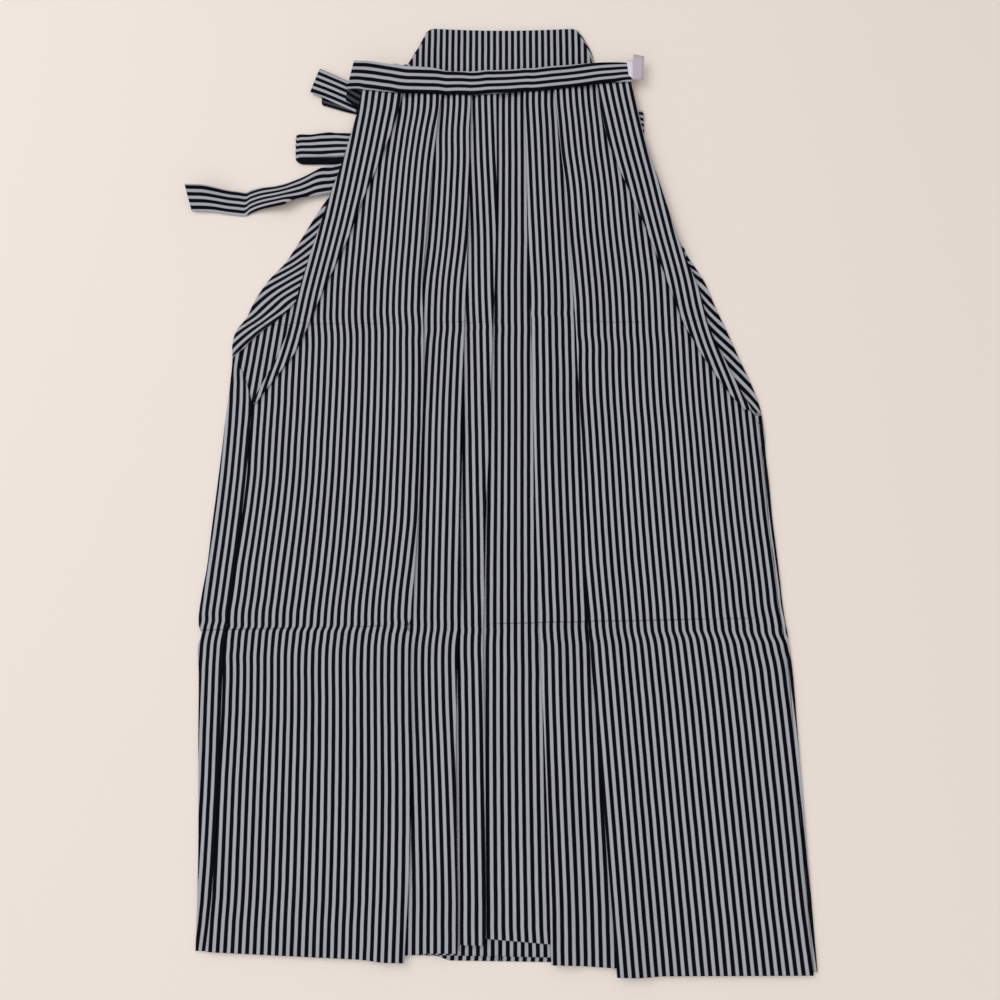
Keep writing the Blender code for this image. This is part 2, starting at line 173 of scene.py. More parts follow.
operators = [name for name in vars(Socket) if name.endswith(("add__", "sub__", "mul__"))]
print("Operators that add a node:", operators)

# %% [markdown]
# ## The striped cloth
# The cloth is woven with dark navy and silver warp threads, so its stripes follow every fold.  They could
# be painted by place, but then they would not turn with a pleat.  So each piece below carries a UV map that
# is made for this cloth: U counts the stripes, with the middle of a dark stripe at every whole number, and
# V measures along them.  The silver stripes take turns between a cooler and a warmer thread, and fine slubs
# run along and across.

# %% The striped cloth
# In pitches: half the width of a dark stripe, and how far its edge is soft.
DARK_HALF = 0.278
STRIPE_EDGE = 0.045
NAVY = (0.0011, 0.0016, 0.0044, 1)
NAVY_WORN = (0.0030, 0.0035, 0.0068, 1)
SILVER_COOL = (0.374, 0.382, 0.424, 1)
SILVER_WARM = (0.366, 0.366, 0.392, 1)
# Dim silver for a copy of the cloth on the tie parts that lie in shadow: painted shade.
SILVER_SHADED = (0.045, 0.048, 0.060, 1)
# Painted shade along the creases where the folded garment was pressed, one faint dark line each: its y in
# the frame at x = 0, its slope and its depth.  It is dark as far as the first of two widths in metres, and
# gone at the second.
CREASE_SHADE_LINES = ((-0.1799, 0.01, 0.5), (0.1257, -0.04, 0.3))
CREASE_SHADE_WIDTHS = (0.0002, 0.001)
# The map counts up from below zero, and a node that folds numbers back and forth wants them above it.
ABOVE_ZERO = 100
# Slubs: how often they change in each pitch across the stripes and along them, and their detail.
WARP_SLUBS = (26, 1.3, 3)
WEFT_SLUBS = (1.6, 22, 2)
# Noises in the garment's own space: how often they change in a metre, and their detail.
WOBBLE, WORN_SPOTS, BLOTCHES, CREASE_SHADE_PATCHES = (55, 2), (30, 3), (9, 2), (14, 1)


def slubs(across, along, each_pitch_across, each_pitch_along, detail):
    """Noise that is drawn out: its place is the stripe map, stretched by how often it changes each way."""
    stretched = {0: across * each_pitch_across, 1: along * each_pitch_along}
    return across.node("ShaderNodeCombineXYZ", {}, stretched).noise(1, detail)


def painted_crease_shade(in_cloth):
    """The painted shade of the creases, as a factor for the colour: 1, less each line's depth where its
    distance is small.  A soft noise breaks the lines up."""
    frame_x, frame_y = (in_cloth.node("ShaderNodeSeparateXYZ", {}, {0: in_cloth}, axis) for axis in "XY")
    patchy = in_cloth.noise(*CREASE_SHADE_PATCHES).smooth(0.36, 0.56)
    left = 1
    for height, slope, depth in CREASE_SHADE_LINES:
        away = frame_y - frame_x * slope - height
        left = (1 - (1 - away.math("ABSOLUTE", away).smooth(*CREASE_SHADE_WIDTHS)) * patchy * depth) * left
    return left


def striped_cloth(name, silver_cool, silver_warm):
    """The distance to the nearest whole stripe number parts navy from silver, and the distance to the
    nearest even number parts the two silvers.  Slubs along the warp and the weft, blotches and the painted
    shade of the creases multiply the colour, and the same slubs make the bump."""
    sheen = {"Sheen_Weight": 0.006, "Sheen_Roughness": 0.4}
    material, shader, start = principled(name, **sheen, Specular_IOR_Level=0.025)
    place = start.node("ShaderNodeUVMap", {"uv_map": "stripes"}, {})
    across, along = (place.node("ShaderNodeSeparateXYZ", {}, {0: place}, axis) for axis in "XY")
    in_cloth = start.node("ShaderNodeTexCoord", {}, {}, "Object")
    warp_slubs = slubs(across, along, *WARP_SLUBS)
    weft_slubs = slubs(across, along, *WEFT_SLUBS)

    # Each stripe wobbles by a few hundredths of a pitch, and its edge is frayed by a hundredth.
    stripe = across + (in_cloth.noise(*WOBBLE) - 0.5) * 0.07 + ABOVE_ZERO
    from_dark = stripe.math("PINGPONG", stripe, 0.5) + (warp_slubs - 0.5) * 0.02
    light = from_dark.smooth(DARK_HALF - STRIPE_EDGE, DARK_HALF + STRIPE_EDGE)
    turns = stripe.math("PINGPONG", stripe - 0.5, 1).smooth(0.35, 0.65)
    silver = turns.mix(silver_cool, silver_warm)
    navy = (in_cloth.noise(*WORN_SPOTS) * 0.8 + warp_slubs * 0.4 - 0.1).mix(NAVY, NAVY_WORN)

    # The threads' own shade lies between 0.77 and 1.19, and mostly near 1.
    threads = 0.84 + warp_slubs * 0.18 + weft_slubs * 0.10 + (in_cloth.noise(*BLOTCHES) - 0.5) * 0.14
    # Painted shade: the threads are darkened along the storage creases.
    threads = threads * painted_crease_shade(in_cloth)
    shade = threads.node("ShaderNodeCombineXYZ", {}, {0: threads, 1: threads, 2: threads})
    colours = {0: light.mix(navy, silver), 1: shade}
    colour = light.node("ShaderNodeVectorMath", {"operation": "MULTIPLY"}, colours)
    roughness = 0.50 + light * 0.06 + (weft_slubs - 0.5) * 0.16
    height = warp_slubs * 0.6 + weft_slubs * 0.4
    bump = height.node("ShaderNodeBump", {}, {"Height": height, "Strength": 0.12, "Distance": 0.0004})
    for socket, result in (("Base Color", colour), ("Roughness", roughness), ("Normal", bump)):
        material.node_tree.links.new(result.output, shader.inputs[socket])
    print(name, "is made of", len(material.node_tree.nodes), "nodes")
    return material


body_cloth = striped_cloth("striped_cloth", SILVER_COOL, SILVER_WARM)
tie_cloth = striped_cloth("tie_cloth", SILVER_COOL, SILVER_WARM)
# The same stripes with dim silver, for the tie parts that lie in shadow: painted shade.
tie_painted_shade = striped_cloth("tie_painted_shade", SILVER_SHADED, SILVER_SHADED)

# %% [markdown]
# ## The lines of the garment
# The outline and every fold are curves that run from the waist to the hem.  Each row of the table says
# where they all stand at one height, and a smooth curve is drawn through the rows.  An edge is the outline,
# a turn is how much of the back is turned over there, a front is the front panel's own outer edge, a fold
# is the inner edge of its slanted side pleat, and pleat 1 to 5 are the front pleats.  Spline curves would
# need a sampling step of their own, and a table of rows is what a cutter's own measures look like.

# %% Edges and folds by height
LINE_NAMES = ("left_edge", "left_turn", "left_front", "left_fold", "pleat_1", "pleat_2", "pleat_3", "pleat_4",
              "pleat_5", "right_fold", "right_front", "right_turn", "right_edge")
# Each row: the height, and then the x of every line there.  The two turns are widths.
LINES = np.array((
    (885, -136, 60, -149, -104.5, -62, -31.5, -4, 26, 58, 104, 137, 60, 126),
    (860, -142, 60, -155, -110, -65, -31.5, -4, 26.5, 60, 106, 142, 60, 132),
    (795, -160, 60, -170.5, -130, -71.5, -32.5, -3.5, 28.5, 65, 117, 154.1, 60, 146),
    (760, -185, 60, -181, -143.5, -74, -32.5, -3.5, 29, 68, 129, 163, 60, 155),
    (700, -219.2, 60, -197, -163, -77.5, -33.5, -4.5, 30, 72, 150, 178, 60, 175),
    (685, -228.2, 57.8, -201.1, -169.2, -78.5, -33.9, -4.8, 30.1, 72.7, 155, 182.3, 60, 182.2),
    (670, -241.9, 54.9, -205.3, -175.9, -79.5, -34.4, -5.2, 30.2, 73.3, 160, 186.8, 60, 190.4),
    (655, -252.2, 50.7, -209.4, -182.7, -80.3, -35, -5.6, 30.2, 73.9, 165, 191.8, 60, 198.6),
    (640, -260, 45, -213, -189, -80.5, -35.5, -6, 30.5, 74.5, 169.8, 196.8, 60, 206),
    (625, -266, 37.7, -215.8, -194.4, -79.8, -36, -6.5, 31, 75.3, 174.2, 201, 60, 210.8),
    (610, -276.3, 29, -219, -200, -79, -36.5, -7, 31.5, 76, 178.5, 203.6, 60, 215.8),
    (595, -279.4, 16.2, -223.5, -206.1, -78.4, -36.8, -7.5, 31.8, 76.6, 184, 206.2, 60, 221.5),
    (580, -278.2, 7, -229, -213.5, -78, -37, -8, 32, 77, 191, 211, 60, 226.9),
    (553, -278.7, 17, -242, -233, -77.5, -37, -9, 32.5, 77.5, 204.8, 221.7, 60, 236.4),
    (526, -280, 27, -253, -250, -77.5, -37.5, -10, 33, 78.5, 220.9, 232.8, 60, 246),
    (508, -281.2, 34, -254.5, -252.5, -77.7, -37.5, -10.5, 33.3, 78.8, 233.5, 241.2, 33.5, 250.8),
    (490, -281.8, 40, -254, -252, -78, -37.5, -11, 33.5, 79, 246, 249, 3, 253),
    (460, -283.4, 43.4, -255, -253.3, -78.5, -37.8, -12, 34, 79.5, 251.6, 249.6, -12.1, 253.2),
    (430, -285, 41.7, -256.1, -254.5, -79.1, -38.2, -13.1, 34.5, 80, 250.5, 251, -4.5, 254.5),
    (400, -286.8, 40, -257.5, -256, -80, -38.5, -14, 35, 80.5, 249.5, 251.5, 3, 255.1),
    (360, -288.8, 40, -260.1, -259.1, -81.9, -37.9, -14.8, 35.7, 81.2, 250.8, 253.5, 3, 257.2),
    (335, -291.7, 40, -261.9, -261.1, -83.3, -37.7, -15.2, 36.2, 81.7, 252, 255, 3, 258.2),
    (320, -293, 40, -263, -262, -84, -38, -15.5, 36.5, 82, 253, 255.2, 3, 258.8),
    (312, -293.2, 40, -263.6, -262.4, -84.4, -38.3, -15.7, 36.7, 82.2, 253.7, 255.8, 3, 259.4),
    (304, -291.9, 40, -264.1, -262.8, -86.4, -38.7, -15.9, 36.9, 82.3, 254.5, 256.4, 3, 260),
    (301, -290.7, 40, -264.3, -262.9, -88.6, -38.8, -15.9, 36.9, 82.4, 254.8, 256.7, 3, 260.3),
    (297, -289.3, 40, -264.6, -263, -86.2, -39, -16, 37, 82.5, 255.1, 257.1, 3, 260.7),
    (285, -291.5, 40, -265, -263.3, -85.2, -39.5, -16.1, 37.4, 83, 255.9, 258.2, 3, 261.9),
    (262, -289.2, 40, -265.2, -263.4, -84.9, -40.2, -15.9, 38.2, 84.3, 257, 259.6, 3, 263.3),
    (200, -284.7, 40, -263.5, -262, -82, -40.5, -14, 40.5, 89, 258, 260.7, 3, 264),
    (100, -276.8, 40, -261, -260, -81, -38.5, -13, 43, 94.5, 258.5, 261.5, 3, 265),
    (40, -273.6, 40, -261.5, -260, -82.5, -37, -12.5, 44, 98, 259, 262, 3, 265.5),
    (2, -272.6, 40, -263, -262, -83.5, -37, -12.5, 44.5, 100, 259.5, 262.5, 3, 266),
))


def smooth_curve(at, knots, values):
    """A cubic between each two knots: each end's value and its slope, taken from the neighbouring values,
    are weighted by the four cubics that are 1 at one end and 0 at the other, or have a slope of 1 there."""
    slopes = np.gradient(values, knots, axis=0)
    low = np.clip(np.searchsorted(knots, at) - 1, 0, len(knots) - 2)
    span = (knots[low + 1] - knots[low])[:, None]
    t = (np.clip(at, knots[0], knots[-1])[:, None] - knots[low][:, None]) / span
    return ((2 * t**3 - 3 * t**2 + 1) * values[low] + (t**3 - 2 * t**2 + t) * span * slopes[low]
            + (3 * t**2 - 2 * t**3) * values[low + 1] + (t**3 - t**2) * span * slopes[low + 1])


def curves(names, table, heights):
    """Each named column of a table, read at the heights: a smooth curve through its rows."""
    rows = table[::-1]
    return dict(zip(names, smooth_curve(heights, rows[:, 0], rows[:, 1:]).T))


# The rows of every panel, as (from, to, step).  They lie closer where folds turn and where creases run.
ROW_STEPS = ((885, 640, 5), (640, 580, 2), (580, 490, 3), (490, 340, 5), (340, 270, 2), (270, 60, 5),
             (60, 2, 2))
HEIGHTS = np.concatenate([np.arange(top, end, -step) for top, end, step in ROW_STEPS] + [[2]]).astype(float)
lines = curves(LINE_NAMES, LINES, HEIGHTS)
print("The garment is drawn at", len(HEIGHTS), "heights")

# %% [markdown]
# ## Where the stripes run
# Stripes are straight in the cloth, but pleats take in more cloth at the waist than at the hem, so each
# panel's stripes lean their own way.  A second table follows a few dark stripes of each panel down the
# garment.  Stripes between two of them share out the distance, which also gives the jog where the folded
# garment was creased.

# %% Some dark stripes by height
STRIPE_NAMES = ("a3", "a13", "a23", "b3", "d1", "e1", "e4", "f1", "g4", "g15", "g24")
# A name is its panel, a to g from the left, and the stripe's own number.  Each row starts with the height.
STRIPES = np.array((
    (885, -223, -156.5, -88, -42.9, -34.9, 3.9, 23.8, 50, 81.4, 151.4, 210),
    (860, -223, -156.5, -88.3, -42.9, -34.6, 3.7, 23.5, 49, 81.9, 152.4, 211),
    (828, -225.5, -159.2, -92.3, -44.4, -33.6, 3.7, 23.5, 50.1, 84.1, 154.9, 212.2),
    (795, -228, -162, -95.7, -44, -32.5, 3.8, 23.6, 51.2, 86.4, 157.5, 213.5),
    (760, -230.5, -164.2, -97.8, -45, -30.9, 3.7, 23.4, 52.2, 89.9, 160.3, 216),
    (700, -233, -167, -100.6, -47.9, -28.4, 3.3, 23.2, 54.3, 93.3, 164, 220),
    (640, -234.5, -169.7, -103.5, -53.4, -27.5, 2.3, 22.2, 56.2, 97.4, 168.4, 223.7),
    (620, -235, -169.3, -103.3, -53.8, -26.8, 2.4, 22.2, 56.3, 98.2, 168.6, 224.3),
    (614, -234.7, -168.7, -102.6, -53.8, -26.5, 2.4, 22.2, 56.1, 98.2, 168.6, 224.4),
    (608, -234.3, -168, -102.1, -53.6, -26.1, 2.4, 22.2, 56.5, 98.3, 168.6, 224.5),
    (602, -233.8, -167.1, -101.7, -53.5, -25.8, 2.7, 22.3, 56.5, 98.4, 168.7, 224.5),
    (596, -233.5, -166.7, -101.6, -53.8, -25.9, 2.6, 22.3, 56.6, 98.5, 168.7, 224.5),
    (590, -233.2, -166.5, -101.7, -54.4, -25.7, 2.4, 22.1, 56.6, 98.5, 168.7, 224.5),
    (580, -233, -166.4, -101.4, -54.9, -25.5, 2.3, 21.9, 56.6, 99.2, 169.1, 224.4),
    (553, -233, -166.1, -100.8, -55.8, -24.8, 2.3, 21.8, 56.8, 99, 169.4, 224.5),
    (526, -232.6, -166.1, -100.6, -56.5, -24.2, 2.3, 21.7, 56.7, 99.2, 169.7, 225),
    (490, -232.8, -166.3, -100.6, -57.1, -23.2, 2.3, 21.5, 57, 100.5, 171, 226.2),
    (450, -232.9, -166.7, -101.1, -57.3, -22.3, 2.1, 21.2, 57.5, 101.9, 172.2, 227.8),
    (400, -236, -168.6, -102.4, -57.8, -21.1, 1.7, 20.9, 58.6, 103.4, 174.1, 229.8),
    (360, -239.4, -170.8, -105.5, -58.2, -20.4, 1.4, 20.8, 59.6, 105, 175.9, 232.1),
    (330, -241.4, -173.2, -108.2, -58.3, -19.9, 1.3, 20.7, 60.3, 106.8, 177.4, 233.8),
    (316, -242.6, -174.2, -108.9, -58.3, -19.4, 1.3, 20.7, 60.7, 107.7, 177.8, 234.3),
    (306.8, -242.3, -174.4, -108.8, -58.1, -19.3, 1.3, 20.7, 60.8, 108.2, 177.9, 235.2),
    (303.8, -241.9, -174.4, -108.5, -57.9, -19.2, 1.3, 20.7, 60.8, 108.3, 178.1, 235.6),
    (301.8, -242.2, -174.5, -108.6, -57.8, -19.1, 1.4, 20.8, 60.7, 108.5, 178.2, 235.7),
    (299.8, -243.6, -175.6, -108.8, -57.8, -19, 1.4, 20.8, 60.7, 108.5, 178.2, 235.9),
    (297.8, -244.2, -176.8, -109.4, -57.8, -18.7, 1.5, 20.8, 60.7, 108.6, 178.3, 236.1),
    (295.8, -244.4, -177.2, -109.9, -58.1, -18.8, 1.5, 20.8, 60.8, 108.8, 178.3, 236),
    (293.8, -244.5, -177.4, -110.4, -58.5, -18.9, 1.4, 20.8, 60.9, 109, 178.5, 236),
    (291.8, -244.6, -177.4, -110.6, -58.8, -19.2, 1.3, 20.8, 61, 109.3, 179.3, 236.3),
    (287.8, -244.7, -177.7, -110.9, -59.3, -19.3, 1.2, 20.8, 61.2, 110, 180.7, 237.5),
    (284, -244.7, -178, -111.2, -59.7, -19.4, 1.1, 20.8, 61.6, 110.6, 181.4, 238.9),
    (274, -244.8, -178.1, -111.3, -60, -19.3, 1.1, 20.8, 61.9, 111.3, 182.4, 240.5),
    (264, -244, -177.9, -111.1, -59.9, -18.9, 1.2, 21, 62, 111.9, 183.2, 242),
    (240, -242.8, -176.5, -110.3, -59, -18.1, 1.2, 20.9, 62.2, 113.3, 184.9, 243.6),
    (150, -240.9, -173.4, -106.9, -54.1, -16, 1.6, 21.2, 64.2, 118.4, 189.5, 247.9),
    (50, -238.5, -171.4, -105.6, -50.1, -13.9, 2.7, 22.4, 66.8, 123.9, 194.9, 251.7),
    (2, -238.2, -170.9, -105.7, -49.6, -13.5, 3.3, 23.2, 66.9, 126.5, 197, 254.5),
))
# l and r are the slanted side pleats.
SIDE_NAMES = ("l0", "l3", "r-4", "r0")
SIDE_STRIPES = np.array((
    (885, -151.2, -129.5, 109.3, 136.5), (860, -154.4, -132.9, 113.2, 140.2),
    (795, -163.4, -142.5, 124.1, 150.9), (760, -168.6, -148.1, 131, 157.5),
    (700, -179.3, -159, 142.6, 168.2), (640, -192, -171.6, 154.5, 180.1), (610, -196.5, -176, 158.3, 184.3),
    (580, -203, -182.3, 165.4, 191), (553, -210.3, -189.3, 172.4, 198.6), (526, -217, -196, 180.9, 207.1),
    (490, -225, -204, 191, 217),
))
# s is the strip of the left back beside the front, below the wing.
STRIP_NAMES = ("s-3", "s-1", "s0", "s1")
STRIP_STRIPES = np.array((
    (596, -274.8, -261.6, -254.2, -247), (580, -277, -263, -255.7, -248.3),
    (566, -277.6, -264.4, -257.1, -249.7), (553, -276.7, -263.2, -258.4, -250.9),
    (542, -276.5, -262.5, -257.2, -251.9), (534, -276.2, -262.2, -256.4, -252.2),
    (526, -276.1, -262.1, -255.8, -249.6), (490, -276.1, -262.7, -256.5, -250.2),
    (450, -277.1, -263.6, -257.4, -251), (400, -279.7, -266.2, -259.6, -253),
    (360, -282.6, -268.8, -262.2, -255.6), (330, -284.6, -270.9, -264.4, -257.8),
    (316, -285.3, -271.9, -265.4, -258.9), (307, -284.8, -271.4, -264.9, -258.4),
    (303, -285.4, -272, -265.5, -259), (299, -286.2, -272.8, -266.3, -259.8),
    (295, -287, -273.6, -267.1, -260.6), (290, -287.7, -274.3, -267.8, -261.3),
    (275, -288, -274.6, -268.1, -261.6), (240, -287, -273.6, -267.1, -260.6),
    (150, -284, -270.6, -264.1, -257.6), (50, -283.3, -269.9, -263.4, -256.9),
    (2, -285, -271.6, -265.1, -258.6),
))
STRIPE_PITCH = 6.5
print("Dark stripes that are followed:", len(STRIPE_NAMES + SIDE_NAMES + STRIP_NAMES))
stripe_lines = {**curves(STRIPE_NAMES, STRIPES, HEIGHTS), **curves(SIDE_NAMES, SIDE_STRIPES, HEIGHTS),
                **curves(STRIP_NAMES, STRIP_STRIPES, HEIGHTS)}


def stripe_count(panel, x):
    """How many dark stripes lie left of x in a panel: straight between the followed stripes, and at the
    last pitch beyond them. x has one row for each height."""
    names = [name for name in stripe_lines if name[0] == panel]
    counts = [float(name[1:]) for name in names]
    known = [stripe_lines[name][:, None] for name in names]
    if len(names) == 1:
        return counts[0] + (x - known[0]) / STRIPE_PITCH
    total = counts[0] + (x - known[0]) * (counts[1] - counts[0]) / (known[1] - known[0])
    for k in range(1, len(names) - 1):
        before = (counts[k] - counts[k - 1]) / (known[k] - known[k - 1])
        after = (counts[k + 1] - counts[k]) / (known[k + 1] - known[k])
        total = total + np.maximum(0, x - known[k]) * (after - before)
    return total


# %% [markdown]
# ## Layers, and what lifts them
# Laid-out cloth is a stack: the back on the floor, then the front, then its pleats.  Each layer gets a
# number, and all of them rise together over what lies below: the ties folded away at the waist, and the
# turned hem.  Cloth could be dropped and left to settle, but pressed pleats hold their own form, so the
# creases from storage and a few soft ridges are listed instead.

# %% Height above the floor
LAYER = 1.5
# The lowest layer's own middle stands this far above the floor.
CLOTH_MIDDLE = 0.6
# What the folded-away ties lift, the height at which the front starts to climb them, and the climb's
# length.
WAIST_LIFT = 3.3
WAIST_CLIMB = (620, 80)
# The height at which the front starts to climb the back's turned hem, and the length of that climb.
HEM_CLIMB = (60, 20)
# A ridge: its two ends as (x, up), how high it stands and how wide it is on each side.  The first six are
# the creases from storage.
Ridge = namedtuple("Ridge", "x0 up0 x1 up1 rise width")
RIDGES = (
    Ridge(-300, 304, 0, 298, 1.0, 3.5), Ridge(0, 298, 262, 293, 1.0, 3.5), Ridge(-208, 619, 0, 607, 0.5, 5),
    Ridge(0, 607, 195, 598, 0.5, 5), Ridge(-207, 602, 0, 592, 0.4, 4), Ridge(0, 592, 199, 585, 0.4, 4),
    Ridge(-240, 520, -215, 330, 0.8, 16), Ridge(-150, 700, -165, 430, 0.7, 20),
    Ridge(-185, 270, -190, 60, 0.7, 22), Ridge(-120, 560, -125, 330, 0.5, 14),
    Ridge(190, 280, 215, 60, 0.8, 22), Ridge(130, 640, 150, 360, 0.7, 20),
    Ridge(222, 500, 228, 330, 0.6, 12), Ridge(110, 240, 118, 60, 0.5, 14),
    Ridge(-60, 520, -62, 330, 0.4, 8), Ridge(4, 500, 4, 120, 0.4, 9),
)


def relief(x, up):
    """Each ridge is a rounded bank round a straight line: its rise times a bell of the distance from the
    line."""
    total = np.zeros(np.broadcast(x, up).shape)
    for ridge in RIDGES:
        start = np.array([ridge.x0, ridge.up0])
        reach = np.array([ridge.x1, ridge.up1]) - start
        t = np.clip(((x - start[0]) * reach[0] + (up - start[1]) * reach[1]) / (reach @ reach), 0, 1)
        away = np.hypot(x - start[0] - t * reach[0], up - start[1] - t * reach[1])
        total = total + ridge.rise * np.exp(-(away / ridge.width) ** 2)
    return total


def smooth_step(t):
    """Three times t squared, less twice t cubed: from 0 to 1, and level at both ends."""
    return 3 * t**2 - 2 * t**3


def front_lift(up):
    """A smooth step over the folded-away ties, and a short ramp over the back's turned hem."""
    over_ties = np.clip((up - WAIST_CLIMB[0]) / WAIST_CLIMB[1], 0, 1)
    over_hem = np.clip((HEM_CLIMB[0] - up) / HEM_CLIMB[1], 0, 1)
    return WAIST_LIFT * smooth_step(over_ties) + LAYER * over_hem


waist, knee, hem = np.round(front_lift(np.array([800, 400, 30])), 2)
print("The front is lifted by", waist, "mm at the waist,", knee, "at the knee and", hem, "at the hem")

# %% [markdown]
# ## From a grid of points to a piece of cloth
# Every panel is one grid: rows run across the garment and columns run down it.  Points could be made one by
# one in a loop, but whole arrays are quicker and shorter.  The grid is the middle of the cloth, and a
# Solidify modifier gives it its thickness, so the two faces never drift apart.

# %% Grids into meshes
CLOTH_THICKNESS = 0.7


def grid_faces(rows, columns, around=False):
    """The four corners of each cell of a grid, joined round the columns if the grid is a tube."""
    index = np.arange(rows * columns).reshape(rows, columns)
    if around:
        index = np.concatenate([index, index[:, :1]], axis=1)
    corners = (index[:-1, :-1], index[1:, :-1], index[1:, 1:], index[:-1, 1:])
    return np.stack(corners, axis=-1).reshape(-1, 4)


def cloth_piece(name, grids, material, thickness, offset=0.0):
    """One piece of cloth from grids of (points, stripe map, joined round).  Each grid's points are numbered
    on from the last one's.  A tube's map has one more column than its points, so that its count can end."""
    points, faces, stripes, first = [], [], [], 0
    for place, pattern, around in grids:
        rows, columns = place.shape[:2]
        points.append(to_frame(place.reshape(-1, 3)))
        faces.append(grid_faces(rows, columns, around) + first)
        cells = grid_faces(rows, pattern.shape[1])
        stripes.append(pattern.reshape(-1, 2)[cells].reshape(-1, 2))
        first += rows * columns
    mesh = bpy.data.meshes.new(name)
    mesh.from_pydata(np.concatenate(points), [], np.concatenate(faces))
    layer = mesh.uv_layers.new(name="stripes")
    layer.data.foreach_set("uv", np.concatenate(stripes).astype(np.float32).ravel())
    mesh.materials.append(material)
    mesh.shade_smooth()
    piece = bpy.data.objects.new(name, mesh)
    bpy.context.scene.collection.objects.link(piece)
    wall = piece.modifiers.new("thickness", "SOLIDIFY")
    wall.thickness = thickness * MM
    wall.offset = offset
    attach(piece, "root")
    print(name, "has", len(mesh.polygons), "faces before it gets its thickness")
    return piece


def body_piece(name, node, *grids):
    """A piece of body cloth from open grids of (points, stripe map), shown in place of a solid."""
    piece = cloth_piece(name, [(*grid, False) for grid in grids], body_cloth, CLOTH_THICKNESS)
    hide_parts(node)
    return piece


# %% [markdown]
# ## Cloth that turns back on itself
# A pleat is made by folding the panel under, and back again.  So a panel is drawn as a path across the
# garment, and each fold is half a circle from one layer to the next.  The hem isn't level: it is given
# where each fold meets it.

# %% Runs and folds
FOLD_RADIUS = LAYER / 2
FOLD_COLUMNS = 7
# A line down the cloth: its x and its stripe number at each height, its layer, and the height of its end
Line = namedtuple("Line", "x level count hem")


def run(start, end, columns, count=None):
    """Flat cloth between two lines.  Its x goes evenly, and its level changes in a smooth step.  Its stripe
    number is the panel's own count, or shared out evenly between the two lines'."""
    t = np.linspace(0, 1, columns)
    soft = smooth_step(t)
    x = start.x[:, None] * (1 - t) + end.x[:, None] * t
    z = (start.level * (1 - soft) + end.level * soft) * LAYER + CLOTH_MIDDLE + 0 * x
    number = count(x) if count else np.outer(start.count, 1 - t) + np.outer(end.count, t)
    return np.stack([x, z, number, (start.hem * (1 - t) + end.hem * t) + 0 * x], axis=-1)


def half_turn(line, to_level, side, step):
    """A half circle from a line's level to the next, whose outside reaches the line.  The stripe number
    grows by the arc's length in pitches, and step is the way that it grows."""
    down = 1 if to_level < line.level else -1
    turn = np.radians(np.linspace(90, -90, FOLD_COLUMNS))
    x = line.x[:, None] - side * FOLD_RADIUS * (1 - np.cos(turn))
    z = (line.level + to_level) / 2 * LAYER + CLOTH_MIDDLE + down * FOLD_RADIUS * np.sin(turn) + 0 * x
    grown = step * (np.pi / 2 - turn) * FOLD_RADIUS / STRIPE_PITCH
    return np.stack([x, z, line.count[:, None] + grown, line.hem + 0 * x], axis=-1)


# How many stripes half a turn takes up
TURN_COUNT = np.pi * FOLD_RADIUS / STRIPE_PITCH
# Above the first of these heights the rows are drawn up to the top line, and below the second to the hem.
WAIST_FROM, HEM_FROM = 860, 40


def drawn_in(x, top, hem):
    """Each row's height.  A row's share of the way from WAIST_FROM to the first row is its share of the way
    to the top line, and the same holds between HEM_FROM and the last row for the hem."""
    up = HEIGHTS[:, None] + 0 * x
    to_top = (up - WAIST_FROM) / (HEIGHTS[0] - WAIST_FROM)
    to_hem = (HEM_FROM - up) / (HEM_FROM - HEIGHTS[-1])
    drawn = np.where(to_top > 0, WAIST_FROM + to_top * (top - WAIST_FROM), up)
    return np.where(to_hem > 0, HEM_FROM - to_hem * (HEM_FROM - hem), drawn)


def laid(blocks, top):
    """Join blocks of columns into points and a stripe map, on top of what lies below and with the
    ridges."""
    x, z, count, hem = np.moveaxis(np.concatenate(blocks, axis=1), -1, 0)
    up = drawn_in(x, top(x[0]), hem)
    z = z + front_lift(up) + relief(x, up)
    return np.stack([x, up, z], axis=-1), np.stack([count, up / STRIPE_PITCH], axis=-1)


print("Half a turn takes up", round(TURN_COUNT, 2), "of a stripe's pitch")

# %% [markdown]
# ## The two fronts
# Each front is one wide panel.  The left front folds under at pleats 1, 2 and 3, and pleat 3 closes over
# the middle.  The right front mirrors it with pleats 5 and 4, and runs on below the left one.  Its hem
# hangs lower at some folds than at others, because each pleat takes the cloth up a little.  Each panel
# could be a strip of its own, but one folded grid keeps the stripes running through every pleat, as they do
# in one length of cloth.

# %% The fronts
# How high the hem is at each line, where "under" is the hidden end of a pleat's underlap
HEMS = {"left_front": 14.5, "pleat_1": 9.5, "under_1": 13.5, "pleat_2": 18, "under_2": 25, "pleat_3": 25,
        "under_3": 27, "right_front": 6.5, "pleat_5": 2, "under_5": 8, "pleat_4": 10.5, "under_4": 25.5,
        "centre": 31}
# How wide the soft climb onto each panel's pleat is.
CLIMB = {"a": 22.0, "b": 13.0, "d": 7.5, "f": 13.0, "g": 22.0}
FRONT_TOP = ((-167, 901), (-107, 893), (-52, 886), (1, 882.5), (65, 885), (141.5, 890))
# Each panel's neighbour on the way to the middle, which its pleat is folded over
NEXT_PANEL = {"a": "b", "b": "d", "d": None, "g": "f", "f": "e"}
PLEAT_UNDERLAP = 16.0
# The panel is at its pleat's full height this far beyond the underlap, and starts to climb CLIMB further
# out.
CLIMB_END = 1.0
# At the start of the climb the hem has gone this far from its last height to its next one.
HEM_SHARES = (0.3, 0.7)
COLUMNS = {"flat": 30, "climb": 8, "underlap": 5, "middle": 16}


def front_top(x):
    """The upper edge of the front, hidden under the band: straight between a few points."""
    return np.interp(x, *zip(*FRONT_TOP))


